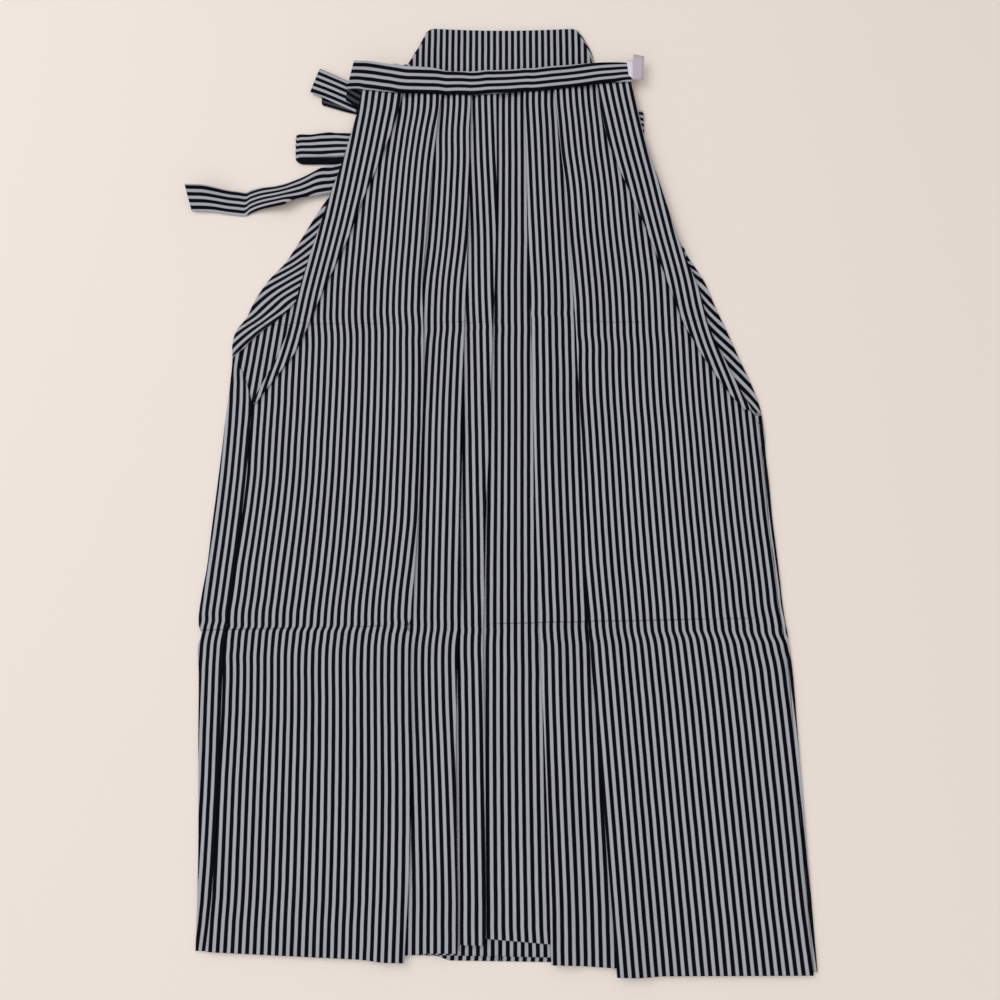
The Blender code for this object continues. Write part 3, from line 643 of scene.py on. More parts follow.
def front_cloth(outer, side, pleats):
    """From the outer edge to the middle: flat, up over the pleat's underlap, folded under, and back.  The
    next panel's numbers are shifted by whole stripes, so that they meet the ones that come round the
    fold."""
    blocks, shift = [], 0.0
    step = -side
    here = Line(lines[outer], 1, None, HEMS[outer])
    for panel, pleat in pleats:
        fold_x = lines[f"pleat_{pleat}"]
        under_x = fold_x + side * PLEAT_UNDERLAP
        hem, under_hem = HEMS[f"pleat_{pleat}"], HEMS[f"under_{pleat}"]
        count = lambda x: stripe_count(panel, x) + shift
        climb_hem = here.hem * HEM_SHARES[0] + hem * HEM_SHARES[1]
        climb = Line(under_x + side * (CLIMB_END + CLIMB[panel]), 1, None, climb_hem)
        high = Line(under_x + side * CLIMB_END, 3, None, hem)
        edge_x = fold_x + side * FOLD_RADIUS
        edge = Line(edge_x, 3, count(edge_x[:, None])[:, 0], hem)
        blocks += [run(here, climb, COLUMNS["flat"], count)[:, :-1],
                   run(climb, high, COLUMNS["climb"], count)[:, :-1],
                   run(high, edge, COLUMNS["underlap"], count)[:, :-1],
                   half_turn(Line(fold_x, 3, edge.count, hem), 2, -side, step)]
        turned = Line(edge_x, 2, edge.count + step * TURN_COUNT, hem)
        after = NEXT_PANEL[panel]
        if after is None:
            last = Line(under_x, 2, turned.count + step * PLEAT_UNDERLAP / STRIPE_PITCH, under_hem)
            blocks.append(run(turned, last, COLUMNS["underlap"])[:, 1:])
            return blocks
        inner_x = under_x - side * FOLD_RADIUS
        wanted = turned.count + step * (PLEAT_UNDERLAP / STRIPE_PITCH + TURN_COUNT)
        shift = round(float(np.median(wanted - stripe_count(after, inner_x[:, None])[:, 0])))
        reached = stripe_count(after, inner_x[:, None])[:, 0] + shift - step * TURN_COUNT
        last = Line(inner_x, 2, reached, under_hem)
        blocks += [run(turned, last, COLUMNS["underlap"])[:, 1:-1],
                   half_turn(Line(under_x, 2, reached, under_hem), 1, side, step)]
        here = Line(inner_x, 1, None, under_hem)
    centre = Line(lines["pleat_3"] - PLEAT_UNDERLAP, 1, None, HEMS["centre"])
    blocks.append(run(here, centre, COLUMNS["middle"], lambda x: stripe_count("e", x) + shift)[:, 1:])
    return blocks


left_blocks = front_cloth("left_front", -1, (("a", 1), ("b", 2), ("d", 3)))
right_blocks = front_cloth("right_front", 1, (("g", 5), ("f", 4)))
left_front = body_piece("left_front", "front_left_leg", laid(left_blocks, front_top))
right_front = body_piece("right_front", "front_right_leg", laid(right_blocks, front_top))

# %% [markdown]
# ## The slanted side pleats
# At each side the front is folded in and out again, so a slanted strip of doubled cloth lies on the panel.
# It narrows to nothing where the side opening ends.  Its stripes run along its outer edge.  It could be one
# more fold of the front's own grid, but it stops half way down, so a strip of its own wastes no rows below
# that.

# %% The side pleats
SIDE_PLEAT_NARROWEST = 2.5
SIDE_PLEAT_LOWEST = {"left": 527, "right": 503}
UPPER_COLUMNS, LOWER_COLUMNS = 12, 8


def side_pleat_cloth(name, side):
    """The upper layer from the outer edge to the inner fold, half a turn, and the lower layer back again,
    whose stripe numbers mirror the upper layer's.  The pleat stops at its lowest row."""
    count = lambda x: stripe_count(name[0], x)
    outer_x, fold_x = lines[name + "_front"], lines[name + "_fold"]
    fold_x = -side * np.maximum(-side * fold_x, -side * outer_x + SIDE_PLEAT_NARROWEST)
    edge_x = fold_x + side * FOLD_RADIUS
    hem = HEIGHTS[-1]
    edge = Line(edge_x, 3, count(edge_x[:, None])[:, 0], hem)
    turned = Line(edge_x, 2, edge.count - side * TURN_COUNT, hem)
    back = Line(outer_x, 2, 2 * edge.count - count(outer_x[:, None])[:, 0], hem)
    blocks = [run(Line(outer_x, 3, None, hem), edge, UPPER_COLUMNS, count)[:, :-1],
              half_turn(Line(fold_x, 3, edge.count, hem), 2, -side, -side),
              run(turned, back, LOWER_COLUMNS)[:, 1:]]
    points, stripes = laid(blocks, front_top)
    kept = HEIGHTS >= SIDE_PLEAT_LOWEST[name]
    return points[kept], stripes[kept]


left_pleat = body_piece("left_side_pleat", "front_left_side_pleat", side_pleat_cloth("left", -1))
right_pleat = body_piece("right_side_pleat", "front_right_side_pleat", side_pleat_cloth("right", 1))

# %% [markdown]
# ## The two backs
# Each back lies on the floor.  Beside the opening it is turned over onto itself, so a wing of its outer
# side shows next to the front.  The wing's stripes fan out, because its edge is cut on the slant.  A
# straight map can't fan out, so a table gives the stripe number at four places across the wing, from its
# outer edge to the front.

# %% The wings' stripes
# Height, and the stripe number at the wing's outer edge, a third and two thirds of the way, and at the
# front
WING_LEFT = np.array((
    (885, -8, -8, -8, -8), (810, -2.83, -2.85, -2.86, -2.86), (790, -1.33, -1.1, -0.8, -0.71),
    (776, -0.28, -0.19, -0.1, -0.05), (764, 0.44, 0.5, 0.51, 0.58), (752, 1.04, 1.14, 1.17, 1.38),
    (740, 1.49, 1.68, 1.97, 2.38), (728, 1.94, 2.34, 2.77, 3.29), (716, 2.68, 3.16, 3.71, 4.36),
    (704, 3.4, 3.94, 4.65, 5.29), (692, 4.11, 4.81, 5.58, 6.22), (680, 5, 5.79, 6.68, 7.5),
    (668, 5.92, 6.83, 7.82, 8.7), (656, 6.81, 7.91, 9, 10.11), (644, 7.42, 8.73, 10.17, 11.36),
    (632, 7.96, 9.5, 11, 12.5), (620, 8.79, 10.4, 12.24, 13.7), (608, 9.64, 11.46, 13.4, 14.9),
    (596, 10.64, 12.5, 14.6, 16), (584, 11.73, 13.7, 15.8, 16), (2, 60, 62, 64, 66),
))
WING_RIGHT = np.array((
    (885, -12, -12, -12, -12), (668, 0, 0, 0, 0), (660, 0.67, 0.81, 1.03, 1.31),
    (652, 1.26, 1.47, 1.79, 2.15), (644, 1.77, 2.05, 2.31, 2.64), (636, 2.19, 2.43, 2.74, 3.14),
    (628, 2.53, 2.81, 3.2, 3.65), (620, 2.86, 3.25, 3.71, 4.21), (612, 3.31, 3.77, 4.24, 4.88),
    (600, 4.08, 4.51, 5.07, 5.64), (588, 4.71, 5.22, 5.77, 6.35), (576, 5.36, 5.9, 6.46, 7.06),
    (564, 6.03, 6.56, 7.14, 7.74), (552, 6.66, 7.22, 7.81, 8.31), (540, 7.29, 7.86, 8.37, 8.8),
    (528, 7.92, 8.44, 8.88, 9.32), (516, 8.51, 8.98, 9.47, 9.86), (504, 9.12, 9.65, 10.08, 10.56),
    (2, 50, 50, 50, 50),
))
print("Heights with the wings' stripes:", len(WING_LEFT), "at the left and", len(WING_RIGHT), "at the right")

# %% The backs
# The hem's height and the hidden top's, as (x, up)
BACK_HEM = ((-273, 15), (-51, 15), (-48, 11.5), (45, 12), (266, 9))
BACK_TOP = ((-143, 894), (106, 871))
# The wing ends on a slanted line: its height at x = 0 and how much that grows with x.
WING_END = {"left": (817.6, 0.85), "right": (500, 0)}
# The back shows this much beside the front, where it shows at all, and its turned-over part is this wide.
SHOWS_BESIDE, TURN_NARROWEST = 3.3, 3
# The turned-over part stops this far from the front, and the wing's map is never narrower than the second.
SIDE_SEAM, WING_NARROWEST = 0.3, 5
# On the floor, fine columns run as far as this below the front, and the back ends this far from the middle.
FINE_BELOW_FRONT, MIDDLE_SEAM = 7, 0.2
TURNED_COLUMNS, FINE_COLUMNS, FLOOR_COLUMNS = 36, 10, 24
# The stripes of the layer on the floor: x of one at a height, how it leans, and their pitch.
FLOOR_STRIPES = {"x": -258.5, "up": 551, "lean": 0.105, "pitch": 7.0}
# Between these heights the left strip's last dark stripe reaches the front, so its number stops growing.
LAST_STRIPE_FROM, LAST_STRIPE_TO, LAST_STRIPE = 75, 534, 0.22


def back_blocks(name, side):
    """The turned-over part, half a turn at the outer edge, and flat on the floor to the middle.  Also gives
    the outer edge and the front's edge, both measured outwards."""
    front, edge = side * lines[name + "_front"], side * lines[name + "_edge"]
    edge = np.where(edge > front, np.maximum(edge, front + SHOWS_BESIDE), edge)
    free = np.minimum(np.maximum(edge - lines[name + "_turn"], front + SIDE_SEAM), edge - TURN_NARROWEST)
    none = np.zeros(len(HEIGHTS))
    free_edge = Line(side * free, 1, none, 0)
    rim = Line(side * (edge - FOLD_RADIUS), 1, none, 0)
    below_front = Line(side * (np.minimum(front, edge) - FINE_BELOW_FRONT), 0, none, 0)
    middle = Line(none + side * MIDDLE_SEAM, 0, none, 0)
    blocks = [run(free_edge, rim, TURNED_COLUMNS)[:, :-1],
              half_turn(Line(side * edge, 1, none, 0), 0, side, 0),
              run(rim._replace(level=0), below_front, FINE_COLUMNS)[:, 1:-1],
              run(below_front, middle, FLOOR_COLUMNS)]
    return blocks, edge, front


def wing_number(x, side, edge, front, wing):
    """The stripe number between the wing's edge and the front's: the table's four columns stand a third of
    the way apart, and each counts by one less its distance in thirds."""
    width = np.minimum(front - edge, -WING_NARROWEST)[:, None]
    thirds = np.clip((side * x - edge[:, None]) / width, 0, 1) * 3
    number = np.zeros_like(x)
    for k, column in enumerate(curves(("n0", "n1", "n2", "n3"), wing, HEIGHTS).values()):
        number += np.maximum(0, 1 - np.abs(thirds - k)) * column[:, None]
    return number


def back_cloth(name, side, wing):
    """The back's points, with the ridges on its turned-over part alone, and its stripe map.  On top the
    wing's numbers hold above the wing's slanted end, and the front's own stripes are followed below it.  On
    the floor the stripes lean evenly."""
    blocks, edge, front = back_blocks(name, side)
    x, z, _, _ = np.moveaxis(np.concatenate(blocks, axis=1), -1, 0)
    up = drawn_in(x, np.interp(x[0], *zip(*BACK_TOP)), np.interp(x[-1], *zip(*BACK_HEM)))
    on_top = np.clip((z - CLOTH_MIDDLE) / LAYER, 0, 1)
    z = z + on_top * relief(x, up)
    lean = FLOOR_STRIPES["lean"] * (up - FLOOR_STRIPES["up"])
    on_floor = (x - FLOOR_STRIPES["x"] - lean) / FLOOR_STRIPES["pitch"]
    strip = stripe_count("s" if side < 0 else "g", x)
    if side < 0:
        stops = (up > LAST_STRIPE_FROM) & (up < LAST_STRIPE_TO)
        strip = np.where(stops, np.minimum(strip, LAST_STRIPE), strip)
    wing_end, growth = WING_END[name]
    shown = np.where(up >= wing_end + growth * x, wing_number(x, side, edge, front, wing), strip)
    count = np.where(on_top > 0.5, shown, on_floor)
    return np.stack([x, up, z], axis=-1), np.stack([count, up / STRIPE_PITCH], axis=-1)


# The turned-up hem: its lower and upper edge, and its two ends on each back.
FACING_EDGES = (15.9, 37)
FACING_LEFT, FACING_RIGHT = (-255, -0.05), (0.05, 252)
FACING_ROWS, FACING_COLUMNS = 6, 60


def hem_facing(ends):
    """A flat strip between its ends, one layer above the back.  Its map is its place in pitches."""
    low, high = FACING_EDGES
    x, up = np.meshgrid(np.linspace(*ends, FACING_COLUMNS), np.linspace(high, low, FACING_ROWS))
    z = LAYER + CLOTH_MIDDLE + 0 * x
    return np.stack([x, up, z], axis=-1), np.stack([x, up], axis=-1) / STRIPE_PITCH


left_back = body_piece("left_back", "back_left_leg",
                       back_cloth("left", -1, WING_LEFT), hem_facing(FACING_LEFT))
right_back = body_piece("right_back", "back_right_leg",
                        back_cloth("right", 1, WING_RIGHT), hem_facing(FACING_RIGHT))

# %% [markdown]
# ## Doubled cloth: the band, the ties and the board
# A tie is a strip that is folded along its length and sewn, so in section it is a very flat tube.  One
# profile is carried along each tie: a flattened ring whose two ends are the tie's upper and lower edges.
# The path is given by those two edges, so a twist needs nothing more.

# %% A flat tube of cloth
TUBE_POINTS = 28
# The power of the sine that the ring goes out by: 1 is an ellipse, and less is flatter with rounder edges.
TUBE_FLATNESS = 0.35
TIE_THICKNESS = 1.8
TIE_CLEARANCE = 0.1
TIE_WALL = 0.5
INWARDS = -1
# The ties' threads start this many pitches along the weave, so that their slubs are not the board's.
TIE_START = 3.0


def flat_tube(sections, thickness, along=0.0):
    """A ring round each section, whose row holds the upper edge, the lower edge and the stripe numbers at
    the lower and the upper edge.  The ring runs across the tie as a cosine, and out of it by half the
    thickness times a low power of the sine."""
    upper, lower, low, high = sections[:, :3], sections[:, 3:6], sections[:, 6], sections[:, 7]
    turn = np.linspace(0, 2 * np.pi, TUBE_POINTS + 1)
    across = np.cos(turn)
    out = np.sign(np.sin(turn)) * np.abs(np.sin(turn)) ** TUBE_FLATNESS
    middle, width = (upper + lower) / 2, upper - lower
    normal = np.cross(np.gradient(middle, axis=0), width)
    normal *= thickness / 2 / np.linalg.norm(normal, axis=1, keepdims=True)
    ring = middle[:, None] + width[:, None] * across[:, None] / 2 + normal[:, None] * out[:, None]
    number = np.outer(low, 0.5 - across / 2) + np.outer(high, 0.5 + across / 2)
    length = np.concatenate([[0], np.cumsum(np.linalg.norm(np.diff(middle, axis=0), axis=1))])
    pattern = np.stack([number, length[:, None] / STRIPE_PITCH + along + 0 * number], axis=-1)
    return ring[:, :-1], pattern, True


def refine(table, steps):
    """A smooth curve through the rows of a table, with the given number of steps between two rows."""
    table = np.array(table, float)
    knots = np.arange(len(table), dtype=float)
    return smooth_curve(np.linspace(0, knots[-1], steps * (len(table) - 1) + 1), knots, table)


def tie(name, sections, steps, node, material=tie_cloth):
    """A flat tube through a few sections, raised by half its own thickness and a hair more."""
    rows = refine(sections, steps)
    rows[:, [2, 5]] += TIE_THICKNESS / 2 + TIE_CLEARANCE
    tube = flat_tube(rows, TIE_THICKNESS, TIE_START)
    piece = cloth_piece(name, [tube], material, TIE_WALL, INWARDS)
    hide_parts(node)
    return piece


# %% [markdown]
# ## The band
# The band is the middle of the front tie.  It is sewn over the pleats' upper edge, and sinks and rises a
# little with them.  A straight box would look like a plank, so its two edges are measured every centimetre
# or two, with the stripe number at each, which shows how far the cloth is rolled over.

# %% The band
# Upper edge (x, up, height), lower edge (x, up, height), stripe numbers at the lower and the upper edge
BAND = (
    (-157.2, 911, 23, -167.3, 887.3, 9.5, 0.45, 4.57), (-151.4, 911.4, 21.5, -155.1, 886.9, 9.5, 0.5, 4.57),
    (-144, 911.8, 20.4, -147.3, 884.8, 9.5, 0.54, 4.59), (-135.4, 910.8, 19, -138.4, 883.6, 9.5, 0.58, 4.6),
    (-126.8, 909.6, 17.7, -127.8, 881.4, 9.5, 0.62, 4.62),
    (-117.8, 907.4, 18.2, -118.9, 880, 9.5, 0.65, 4.68),
    (-108.8, 904.9, 19.3, -110.1, 878.1, 9.5, 0.73, 4.74),
    (-99.7, 901.7, 20.4, -101.2, 877, 9.5, 0.76, 4.73), (-90.8, 899.8, 21.1, -92.4, 876.3, 9.5, 0.77, 4.7),
    (-74, 900.2, 17.1, -74.9, 874.5, 9.5, 0.8, 4.64), (-65.6, 899.2, 15.2, -66.1, 873.6, 9.5, 0.8, 4.53),
    (-57.1, 897.2, 13.9, -57.4, 871.7, 9.5, 0.8, 4.42), (-48.5, 896.6, 12.7, -48.7, 871.5, 9.5, 0.8, 4.36),
    (-40, 897.1, 11.6, -40, 870.7, 9.5, 0.78, 4.44), (-31.4, 896.7, 10.8, -31.3, 869.5, 9.5, 0.75, 4.52),
    (-22.7, 896.8, 10.7, -22.7, 869.1, 9.5, 0.73, 4.55), (-14, 897.5, 10.5, -14, 869.3, 9.5, 0.72, 4.53),
    (-5.4, 896.6, 10.4, -5.4, 869.3, 9.5, 0.71, 4.51), (11.9, 896.2, 10.1, 11.8, 869, 9.5, 0.74, 4.52),
    (29.2, 896.6, 10, 28.9, 869.6, 9.5, 0.81, 4.54), (37.8, 896.1, 9.9, 37.5, 869.1, 9.5, 0.83, 4.55),
    (54.9, 897.3, 9.8, 54.6, 869.7, 9.5, 0.85, 4.55), (72.1, 897.4, 9.6, 71.6, 870.6, 9.5, 0.86, 4.51),
    (89.1, 897.9, 9.5, 88.6, 871.5, 9.5, 0.86, 4.4), (106.2, 898.1, 9.5, 105.5, 873.1, 9.5, 0.82, 4.29),
    (123.1, 897.1, 9.5, 122.4, 873.3, 9.5, 0.74, 4.17), (131.5, 896.2, 9.5, 130.8, 873.6, 9.5, 0.64, 4.12),
    (137.1, 895.2, 9.5, 140.8, 873.1, 9.5, 0.55, 4),
)
band = tie("band", BAND, 3, "front_band")
print("The band is", round(BAND[-1][0] - BAND[0][0]), "mm long")

# %% [markdown]
# ## The ties
# The front tie's left part is doubled back in two runs beside the band.  Its lower run and its turned end lie
# in shadow, and that shade is painted into their cloth as dim silver stripes.  The left back tie shows as a
# folded loop and as a loose end that dips, twists and rises again under the side.  All of them are the same
# flat tube.

# %% The ties
# The sections are given as the band's are.
UNDER_RUN = (
    (-197.7, 883.2, 0.2, -197.5, 878.3, 0.2, 1, 1.28), (-196.2, 891.5, 0.2, -196, 875.8, 0.2, 0.97, 3.5),
    (-191.2, 898.8, 0.2, -192.3, 874.2, 0.2, 0.97, 5), (-180.8, 895.4, 0.2, -183.2, 870.5, 0.2, 0.97, 5),
    (-168.2, 889.4, 0.2, -169.5, 865.2, 0.2, 0.97, 5), (-152.2, 881.8, 0.2, -155.9, 860.9, 0.2, 0.97, 4.5),
)
UPPER_RUN = (
    (-201.1, 920.1, 2.5, -210.3, 891.6, 2.5, 0.72, 4.85),
    (-185.4, 911.3, 2.5, -193.7, 882.6, 2.5, 0.55, 4.82),
    (-171.5, 903.4, 2.5, -179.3, 874.2, 2.5, 0.45, 4.8), (-156.6, 895, 2.5, -165, 866.2, 2.5, 0.45, 4.8),
    (-149.8, 891.3, 2.5, -158.2, 862.5, 2.5, 0.45, 4.8),
)
TURNED_END = (
    (-168.1, 892.3, 4.7, -169.2, 876.8, 4.7, 0.9, 2.9), (-160.4, 891.4, 4.7, -162.4, 871.4, 4.7, 0.9, 3.5),
    (-150.8, 889.1, 4.7, -153.3, 865.3, 4.7, 0.9, 4),
)
LOOSE_END = (
    (-338.7, 776.1, 17, -335.4, 753, 1.5, 0.42, 4.42),
    (-319.2, 774.4, 16.5, -321.4, 751.8, 1.5, 0.42, 4.42), (-306, 772.4, 13, -310.3, 750.7, 1, 0.4, 4.4),
    (-293.4, 770.9, 8, -294.6, 747.3, 0.5, 0.4, 4.4), (-283.8, 771.2, 4, -283.5, 745.3, 0, 0.38, 4.42),
    (-275.6, 771, 2, -276.3, 744.5, 0, 0.35, 4.5), (-270.6, 774.1, 1, -270, 747, 0.8, 0.05, 4.6),
    (-258.7, 776.7, 0.5, -259.4, 749.5, 3, 0, 4.5), (-244.5, 777.9, 0, -244, 750.3, 6.5, -0.05, 4.5),
    (-233.5, 780.2, 0, -231.1, 750.8, 9, -0.05, 4.55), (-226.6, 781.3, 1, -225.5, 754.4, 8.5, 0.55, 4.4),
    (-215.9, 783.3, 3.5, -216.8, 758.4, 7, 0.95, 4.27), (-206.5, 785.7, 6, -207.6, 760.4, 5.5, 0.8, 4.15),
    (-199.7, 788.8, 7, -197.9, 761.6, 5, 0.5, 4.1), (-192.7, 793.5, 5.5, -190.6, 763.2, 4, 0.48, 4.3),
    (-182.5, 796.9, 3, -181.2, 765, 2.8, 0.48, 4.6), (-170.7, 799.3, 2.4, -170.5, 767, 2.4, 0.48, 4.6),
)
LEFT_ROOT = (
    (-143, 912, 1.6, -143, 895, 1.6, 0.5, 4.5), (-124, 914, 1.6, -124, 895, 1.6, 0.5, 4.5),
    (-119.8, 916.5, 1.6, -120, 894, 1.6, 0.5, 4.5), (-118.2, 920.4, 1.6, -119, 894, 1.6, 0.6, 4.5),
    (-115.7, 921, 1.6, -117, 894, 1.6, 0.6, 4.55), (-113.2, 919.6, 1.6, -115, 894, 1.6, 0.6, 4.5),
    (-111.2, 916.6, 1.6, -113, 894, 1.6, 0.5, 4.3), (-107.8, 917.6, 1.6, -110, 894, 1.6, 0.3, 4.05),
    (-104.5, 918.6, 1.6, -107, 894, 1.6, 0.3, 4.02), (-102.6, 917.6, 1.6, -105, 894, 1.6, 0.3, 4),
)
RIGHT_ROOT = (
    (102, 898.5, 1.6, 106.5, 875.5, 1.6, 0.5, 4.5), (129.5, 895.5, 1.6, 129.5, 874.5, 1.6, 0.5, 4.5),
)

# The under run and the turned end lie in shadow, and their cloth has that shade painted in.
under_tie = tie("front_tie_under", UNDER_RUN, 4, "front_tie_under_run", tie_painted_shade)
upper_tie = tie("front_tie_upper", UPPER_RUN, 6, "front_tie_upper_run")
loose_tie = tie("loose_tie", LOOSE_END, 5, "back_tie_loose_end")
turned_end = tie("front_tie_end", TURNED_END, 4, "front_tie_turned_end", tie_painted_shade)
left_root = tie("left_tie_root", LEFT_ROOT, 3, "back_tie_left_root")
right_root = tie("right_tie_root", RIGHT_ROOT, 6, "back_tie_right_root")

# %% [markdown]
# ## Loops, and what is folded away
# The rest of each tie was folded up and laid between the front and the back, so only a loop looks out at
# each side.  A loop's path goes out on top, turns over its end and comes back below.  The hidden lengths
# could be folded just as finely, but nobody sees them, so they are four plain runs that fill the room that
# the lift of the front leaves.

# %% The folded loops
LEFT_LOOP = (
    (-161.1, 835.5, 2.4, -160.1, 808.5, 2.4, 0.36, 4.3), (-170, 836.4, 2.4, -168.9, 809.1, 2.4, 0.36, 4.25),
    (-179, 837.2, 2.4, -177.8, 809.5, 2.4, 0.4, 4.15), (-186.8, 838.6, 2.4, -185.5, 809.8, 2.4, 0.45, 4.3),
    (-196.8, 838, 2.4, -195.5, 810, 2.4, 0.5, 4.15), (-207.9, 837.2, 2.4, -206.6, 810.3, 2.4, 0.4, 4.2),
    (-218.6, 838.2, 2.4, -217.2, 810.7, 2.4, 0.35, 4.3), (-222.3, 837.9, 2.2, -220.8, 809.9, 2.2, 0.3, 4.3),
    (-223.4, 835.5, 1.4, -221.9, 807.5, 1.4, 0, 3), (-222, 832.2, 0.7, -220.6, 806.2, 0.7, -0.22, 1.5),
    (-218.3, 830.3, 0.5, -217, 803.8, 0.5, -0.22, 1.5),
    (-208.2, 829.1, 0.5, -206.9, 802.6, 0.5, -0.22, 1.5),
    (-185.8, 827.8, 0.5, -184.7, 801.4, 0.5, -0.22, 1.5),
    (-165.8, 826.7, 0.5, -164.8, 800.4, 0.5, -0.22, 1.5),
)
RIGHT_LOOP = (
    (141, 842, 2.4, 141, 815, 2.4, 0.6, 4.64), (147.7, 842, 2.4, 147.7, 815, 2.4, 0.6, 4.64),
    (150, 841.7, 2.2, 150, 814.5, 2.2, 0.6, 4.64), (150.7, 841, 1.4, 150.7, 814, 1.4, 0.6, 4.64),
    (150, 840.3, 0.7, 150, 813.5, 0.7, 0.6, 4.64), (147.7, 840, 0.5, 147.7, 813, 0.5, 0.6, 4.64),
    (141, 840, 0.5, 141, 813, 0.5, 0.6, 4.64),
)
left_loop = tie("left_tie_loop", LEFT_LOOP, 4, "back_tie_left_loop")
right_loop = tie("right_tie_loop", RIGHT_LOOP, 4, "back_tie_right_loop")

# %% The ties folded away
HIDDEN_HEIGHTS = (852, 826, 800, 774)
HIDDEN_ENDS = ((-128, 0, 3, -128, -24.5, 3, 0.5, 4.5), (120, -3, 3, 120, -27.5, 3, 0.5, 4.5))
HIDDEN_STEPS = 10
hidden = []
for up in HIDDEN_HEIGHTS:
    ends = np.array(HIDDEN_ENDS) + (0, up, 0, 0, up, 0, 0, 0)
    hidden.append(flat_tube(refine(ends, HIDDEN_STEPS), TIE_THICKNESS))
folded_away = cloth_piece("folded_away_ties", hidden, tie_cloth, TIE_WALL, INWARDS)
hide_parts("folded_ties")

# %% [markdown]
# ## The board
# The board at the back of the waist is stiff card inside the same cloth, which goes round its two sides.  A
# box with a bevel would do for the card, but the cloth's turn round the sides shows, so it is the same flat
# tube again, carried from its lower edge to its upper one, and much wider than it is long.

# %% The board
# Left side (x, up) and right side (x, up) of each station, from the lower edge to the upper one
BOARD = (
    (-115, 893, 105.5, 874), (-111, 900, 103, 890), (-106.5, 911, 101.2, 904), (-101.8, 920, 99.4, 915),
    (-96, 931, 96.3, 924.5), (-89.5, 943, 90.3, 937.5), (-83.6, 956, 85.5, 946), (-81, 960, 82.8, 948),
    (-77.5, 962.4, 79, 949),
)
BOARD_STEPS = 4
BOARD_THICKNESS = 3.8
BOARD_CLEARANCE = 0.3
BOARD_WALL = 0.4
# The middle of the upper edge lies lower than its two ends.  The sag is nothing at the first height and
# full so much higher.
BOARD_SAG = 3.2
SAG_FROM, SAG_GROWS_OVER = 893, 69
# The board's own pitch, the x of a dark stripe, and the numbers that the turn round each side adds
BOARD_PITCH = 6.57
BOARD_STRIPE = 0.4
RIGHT_WRAP, LEFT_WRAP = -0.9, 0.35


def board_cloth(stations):
    """A flat tube through the stations, which sags by a parabola between its two sides.  The stripe number is
    the distance from a dark stripe in pitches, with a jump where the cloth turns round a side."""
    rows = refine(stations, BOARD_STEPS)
    flat = np.zeros(len(rows)) + BOARD_THICKNESS / 2 + BOARD_CLEARANCE
    sections = np.column_stack([rows[:, 2:], flat, rows[:, :2], flat, flat, flat])
    points, _, around = flat_tube(sections, BOARD_THICKNESS)
    sides = rows[:, None, [0, 2]]
    t = 2 * (points[..., 0] - sides[..., 0]) / (sides[..., 1] - sides[..., 0]) - 1
    points[..., 1] -= BOARD_SAG * (1 - t**2) * np.clip((rows[:, 1:2] - SAG_FROM) / SAG_GROWS_OVER, 0, 1)
    ring = np.concatenate([points, points[:, :1]], axis=1)
    wrapped = np.zeros(TUBE_POINTS + 1)
    wrapped[[0, -1]], wrapped[TUBE_POINTS // 2] = RIGHT_WRAP, LEFT_WRAP
    number = (ring[..., 0] - BOARD_STRIPE) / BOARD_PITCH + wrapped
    return points, np.stack([number, ring[..., 1] / STRIPE_PITCH], axis=-1), around


board = cloth_piece("board", [board_cloth(BOARD)], body_cloth, BOARD_WALL, INWARDS)
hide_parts("back_board")

# %% [markdown]
# ## The care label
# A small loop of pale woven tape is sewn under the band's right end.  It is left bare here.  One bent strip
# would do, but the tape is creased flat, so two plain grids are closer to it: the neck that comes out from
# the seam, and the loop's own face, which slopes down to the right.

# %% The label
TAPE_ROWS = 7
TAPE_THREADS = 20
TAPE_THICKNESS = 0.4
NECK_COLUMNS, FACE_COLUMNS = 6, 14
# Left and right side, each as its lower and its upper end (x, up, height), and the tone at each side
NECK = (((137.5, 879, 12.2), (135.8, 898, 12.2)), ((142.2, 874.5, 12.2), (142.8, 897.8, 12.2)), (-1, -0.2))
FACE = (((141.3, 873.6, 12.6), (143.3, 904.2, 12.6)), ((151.9, 874, 10.4), (154.5, 902.8, 10.4)), (0, 1))
NECK_COLOUR = (0.66, 0.61, 0.715, 1)
FACE_COLOUR = (0.48, 0.42, 0.475, 1)
# The face is darker at its right edge, where the loop turns under: painted shade of the turn.
FACE_TURN_SHADE = (0.41, 0.355, 0.40, 1)


def tape(left, right, tone, columns):
    """A flat grid: each point is shared out between the left and the right side, and between their lower
    and upper ends.  The tone is shared out across it, and picks the colour."""
    across, up = np.meshgrid(np.linspace(0, 1, columns), np.linspace(0, 1, TAPE_ROWS))
    a, u = across[..., None], up[..., None]
    low, high = (np.array(left[k]) * (1 - a) + np.array(right[k]) * a for k in (0, 1))
    pattern = np.stack([tone[0] * (1 - across) + tone[1] * across, up * TAPE_THREADS], axis=-1)
    return low * (1 - u) + high * u, pattern, False


label_material, label_shader, start = principled("label_tape", Roughness=0.7)
place = start.node("ShaderNodeUVMap", {"uv_map": "stripes"}, {})
tone = place.node("ShaderNodeSeparateXYZ", {}, {0: place})
tape_colour = tone.smooth(-0.12, -0.08).mix(NECK_COLOUR, FACE_COLOUR)
# Painted shade: the right edge of the face, where the tape turns under, is darker.
tape_colour = tone.smooth(0.80, 0.86).mix(tape_colour, FACE_TURN_SHADE)
label_material.node_tree.links.new(tape_colour.output, label_shader.inputs["Base Color"])
label = cloth_piece("sewn_label", [tape(*FACE, FACE_COLUMNS), tape(*NECK, NECK_COLUMNS)],
                    label_material, TAPE_THICKNESS)
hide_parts("care_label")

# %% [markdown]
# ## Floor and light
# The garment lies on a pale, warm surface in soft daylight from the upper left.  A closed room would need
# many bounces of light, so one large plane takes the shadows and an even white world gives the room's own
# light.  Two square lamps do the rest: the larger a lamp, the softer its shadows, and the one beyond the
# hem fills the folds.

